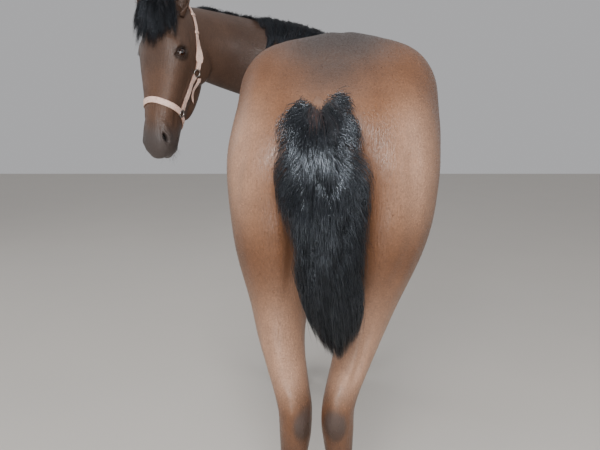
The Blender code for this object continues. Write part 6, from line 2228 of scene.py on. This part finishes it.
class HORSE_OT_fine_hair(bpy.types.Operator):
    """Lashes, feelers of the muzzle, fringe of the ears and tufts behind the fetlocks"""
    bl_idname = "altai_horse.fine_hair"
    bl_label = "Fine hair"

    def execute(self, context):
        self.black = hair_material("fine_dark_hair", context.scene.horse_hair, 0.50, 0.40, 0.50)
        self.chance = np.random.default_rng(HAIR_SEED + 3)
        skin = bpy.data.objects["horse_skin"]
        paths, flats = lash_strands(self.chance)
        self.lay("lashes", paths, np.full(len(paths), LASH_WIDTH), flats, paths[:, 0])
        paths, flats = whisker_strands(self.chance)
        paths = seat_roots(surface_tree(skin), paths)
        self.lay("feelers", paths, np.full(len(paths), FEELER_WIDTH), flats, paths[:, 0])
        self.fringe_ears(skin)
        self.feather_fetlocks(skin)
        return {"FINISHED"}

    def lay(self, name, paths, widths, flats, roots):
        ride_strands(name, paths, widths, flats, roots, self.chance.random(len(paths)), self.black)

    def fringe_ears(self, skin):
        """Soft hair out of the open side of each ear."""
        found = []
        leans = []
        for sign, _ in SIDES:
            base, up, facing = (np.array(v) for v in ear_axes(sign))

            def inside(middle, base=base, up=up):
                apart = middle - base
                high = apart @ up
                wide = np.linalg.norm(apart - high[:, None] * up, axis=1)
                return ((high > 0.022) & (high < 0.150) & (wide < 0.036)).astype(float)

            places, normals = scatter(skin, FRINGE_HAIRS, self.chance, inside)
            open_side = (normals @ facing) > 0.05
            found.append(places[open_side])
            leans.append(normals[open_side] * 0.35 + facing * 0.5 + up * 0.65)
        roots = np.concatenate(found)
        lean = unit(np.concatenate(leans))
        paths = grown(roots, lean, self.chance.uniform(0.006, 0.017, len(roots)), 4)
        self.lay("ear_fringe", paths, np.full(len(roots), FRINGE_WIDTH),
                 np.cross(lean, [0.2, 0.1, 1.0]), roots)

    def feather_fetlocks(self, skin):
        """Short feathers at the back of each fetlock and round the coronets."""
        def behind(middle):
            flat = body_coordinates(middle)
            axis = np.where(flat[:, 1] < 0.62, 0.066, 1.160)
            fetlock = (flat[:, 2] > 0.185) & (flat[:, 2] < 0.265) & (flat[:, 1] < axis - 0.004)
            coronet = (flat[:, 2] > 0.080) & (flat[:, 2] < 0.100)
            return fetlock * 2.2 + coronet * 0.9

        roots, normals = scatter(skin, FEATHER_HAIRS, self.chance, behind)
        fetlock = body_coordinates(roots)[:, 2] > 0.15
        lean = unit(normals * 0.30 + DOWN + BACKWARD * np.where(fetlock, 0.35, 0.0)[:, None])
        long = np.where(fetlock, self.chance.uniform(0.018, 0.042, len(roots)),
                        self.chance.uniform(0.008, 0.016, len(roots)))
        paths = grown(roots - normals * 0.0008, lean, long, 5)
        paths[..., 2] -= (0.25 * long)[:, None] * np.linspace(0.0, 1.0, 5)[None, :] ** 2
        paths[..., 2] = np.maximum(paths[..., 2], HOOF_CLEARANCE)
        widths = FEATHER_WIDTH * self.chance.uniform(0.7, 1.3, len(roots))
        self.lay("fetlock_feathers", paths, widths, normals, roots)


TUFT_RISE = np.array([-0.0006, 0.0003, 0.0007])
TUFT_THIN = 0.22


class HORSE_OT_tufts(bpy.types.Operator):
    """Thin tufts of the short coat that break its outline, small on face and feet"""
    bl_idname = "altai_horse.tufts"
    bl_label = "Coat tufts"

    def execute(self, context):
        settings = context.scene.horse_skin
        chance = np.random.default_rng(HAIR_SEED + 4)

        def density(middle):
            bare = in_head(head_coordinates(middle), 0.47, 9.0, 0.12, -0.2)
            return np.where(bare | (eye_distance(middle) < 0.030), 0.0, 1.0)

        roots, normals = scatter(bpy.data.objects["horse_skin"], settings.tufts, chance, density)
        lie = lie_of_coat(roots, normals)
        on_face = in_head(head_coordinates(roots), -0.05, 9.0)
        small = np.where(on_face | (roots[:, 2] < 0.30), 0.5, 1.0)
        lie = unit(lie + np.cross(normals, lie) * chance.normal(0.0, 0.22, len(roots))[:, None])
        paths = grown(roots, lie, chance.uniform(0.006, 0.011, len(roots)) * small, 3)
        paths += normals[:, None, :] * TUFT_RISE[None, :, None] * small[:, None, None]
        widths = chance.uniform(0.0007, 0.0013, len(roots)) * small
        material = tuft_material(settings)
        order = np.argsort(body_coordinates(roots)[:, 1] > 0.80)
        half = len(order) // 2
        for name, pick in (("coat_rear", order[:half]), ("coat_front", order[half:])):
            piece = strands("tufts", paths[pick], widths[pick], normals[pick], roots[pick],
                            chance.random(len(pick)), TUFT_THIN)
            finish_piece(piece, name, material)
        return {"FINISHED"}


def floor_material(tack):
    """Matt painted floor, faintly mottled."""
    material, tree = new_material("matt_painted_floor")
    # Mottling in clouds about half a metre across.
    mottle = noise(tree, object_place(tree), 2.2, 3.0)
    shade_with(tree, {"Base Color": mixed(tree, mottle, rgba(tack.floor, 0.96), rgba(tack.floor)),
                      "Roughness": 0.85})
    return material


# Name, place, aim, width, height, power in watts.
LIGHTS = [("key", (-1.9, -3.3, 3.1), (0.0, 0.1, 1.05), 1.9, 1.5, 70.0),
          ("fill", (2.7, -2.3, 2.3), (0.0, 0.2, 1.0), 1.6, 1.6, 34.0),
          ("top", (0.2, 0.5, 4.2), (0.0, 0.2, 1.2), 2.6, 2.6, 24.0),
          ("far_left", (-3.4, 1.6, 2.6), (0.0, 0.3, 1.1), 1.8, 1.8, 16.0),
          ("near_lamp", (0.05, -1.85, 1.95), (0.0, 0.0, 1.1), 0.45, 0.45, 32.0),
          ("low_lamp", (0.10, -2.40, 0.60), (0.0, 0.0, 1.0), 0.80, 0.50, 13.0)]
FLOOR_SIZE = 16.0
SKY = (0.80, 0.80, 0.82, 1.0)
SKY_STRENGTH = 0.58
CAMERA_PLACE = Vector((0.0, -1.13, 1.267))
CAMERA_PITCH = 12.6
FOCAL_PIXELS = 560.0
IMAGE_WIDTH = 600.0
SENSOR = 36.0


def look_at(thing, place, aim):
    thing.location = place
    thing.rotation_euler = (Vector(aim) - Vector(place)).to_track_quat("-Z", "Y").to_euler()


class HORSE_OT_stage(bpy.types.Operator):
    """Pale floor, soft studio lights and the camera at the picture's angle"""
    bl_idname = "altai_horse.stage"
    bl_label = "Stage"

    def execute(self, context):
        scene = context.scene
        deselect_all()
        bpy.ops.mesh.primitive_plane_add(size=FLOOR_SIZE, location=(0.0, 0.0, 0.0))
        floor = bpy.context.active_object
        floor.name = "studio_floor"
        floor.data.materials.append(floor_material(scene.horse_tack))
        world = bpy.data.worlds.new("studio")
        world.use_nodes = True
        fill_inputs(world.node_tree, world.node_tree.nodes["Background"],
                    {"Color": SKY, "Strength": SKY_STRENGTH})
        scene.world = world
        for name, place, aim, width, height, power in LIGHTS:
            data = bpy.data.lights.new(name, "AREA")
            data.shape = "RECTANGLE"
            data.size = width
            data.size_y = height
            data.energy = power
            light = bpy.data.objects.new(name, data)
            scene.collection.objects.link(light)
            light.visible_camera = False
            look_at(light, place, aim)
        data = bpy.data.cameras.new("camera")
        data.sensor_width = SENSOR
        data.lens = FOCAL_PIXELS / IMAGE_WIDTH * SENSOR
        data.clip_start = 0.05
        camera = bpy.data.objects.new("camera", data)
        scene.collection.objects.link(camera)
        camera.location = CAMERA_PLACE + SHIFT
        camera.rotation_euler = (math.radians(90.0 - CAMERA_PITCH), 0.0, 0.0)
        scene.camera = camera
        return {"FINISHED"}


MAKERS = [HORSE_OT_skin, HORSE_OT_eyes, HORSE_OT_hooves, HORSE_OT_halter, HORSE_OT_tail, HORSE_OT_mane,
          HORSE_OT_forelock, HORSE_OT_fine_hair, HORSE_OT_tufts, HORSE_OT_stage]


class HORSE_PT_panel(bpy.types.Panel):
    """Lists the horse's pieces in the order they are made"""
    bl_idname = "HORSE_PT_panel"
    bl_label = "Altai Horse"
    bl_space_type = "VIEW_3D"
    bl_region_type = "UI"
    bl_category = "Altai Horse"

    def draw(self, context):
        for group in (context.scene.horse_skin, context.scene.horse_hair, context.scene.horse_tack):
            box = self.layout.box()
            for key in group.__annotations__:
                box.prop(group, key)
        for maker in MAKERS:
            self.layout.operator(maker.bl_idname)


SETTINGS = [("horse_skin", HorseSkinSettings), ("horse_hair", HorseHairSettings),
            ("horse_tack", HorseTackSettings)]


def register():
    for _, group in SETTINGS:
        bpy.utils.register_class(group)
    for name, group in SETTINGS:
        setattr(bpy.types.Scene, name, bpy.props.PointerProperty(type=group))
    for maker in MAKERS:
        bpy.utils.register_class(maker)
    bpy.utils.register_class(HORSE_PT_panel)


def unregister():
    bpy.utils.unregister_class(HORSE_PT_panel)
    for maker in reversed(MAKERS):
        bpy.utils.unregister_class(maker)
    for name, _ in SETTINGS:
        delattr(bpy.types.Scene, name)
    for _, group in reversed(SETTINGS):
        bpy.utils.unregister_class(group)


def main():
    register()
    for maker in MAKERS:
        family, name = maker.bl_idname.split(".")
        getattr(getattr(bpy.ops, family), name)()
    bpy.data.collections.remove(workshop())


if __name__ == "__main__":
    main()
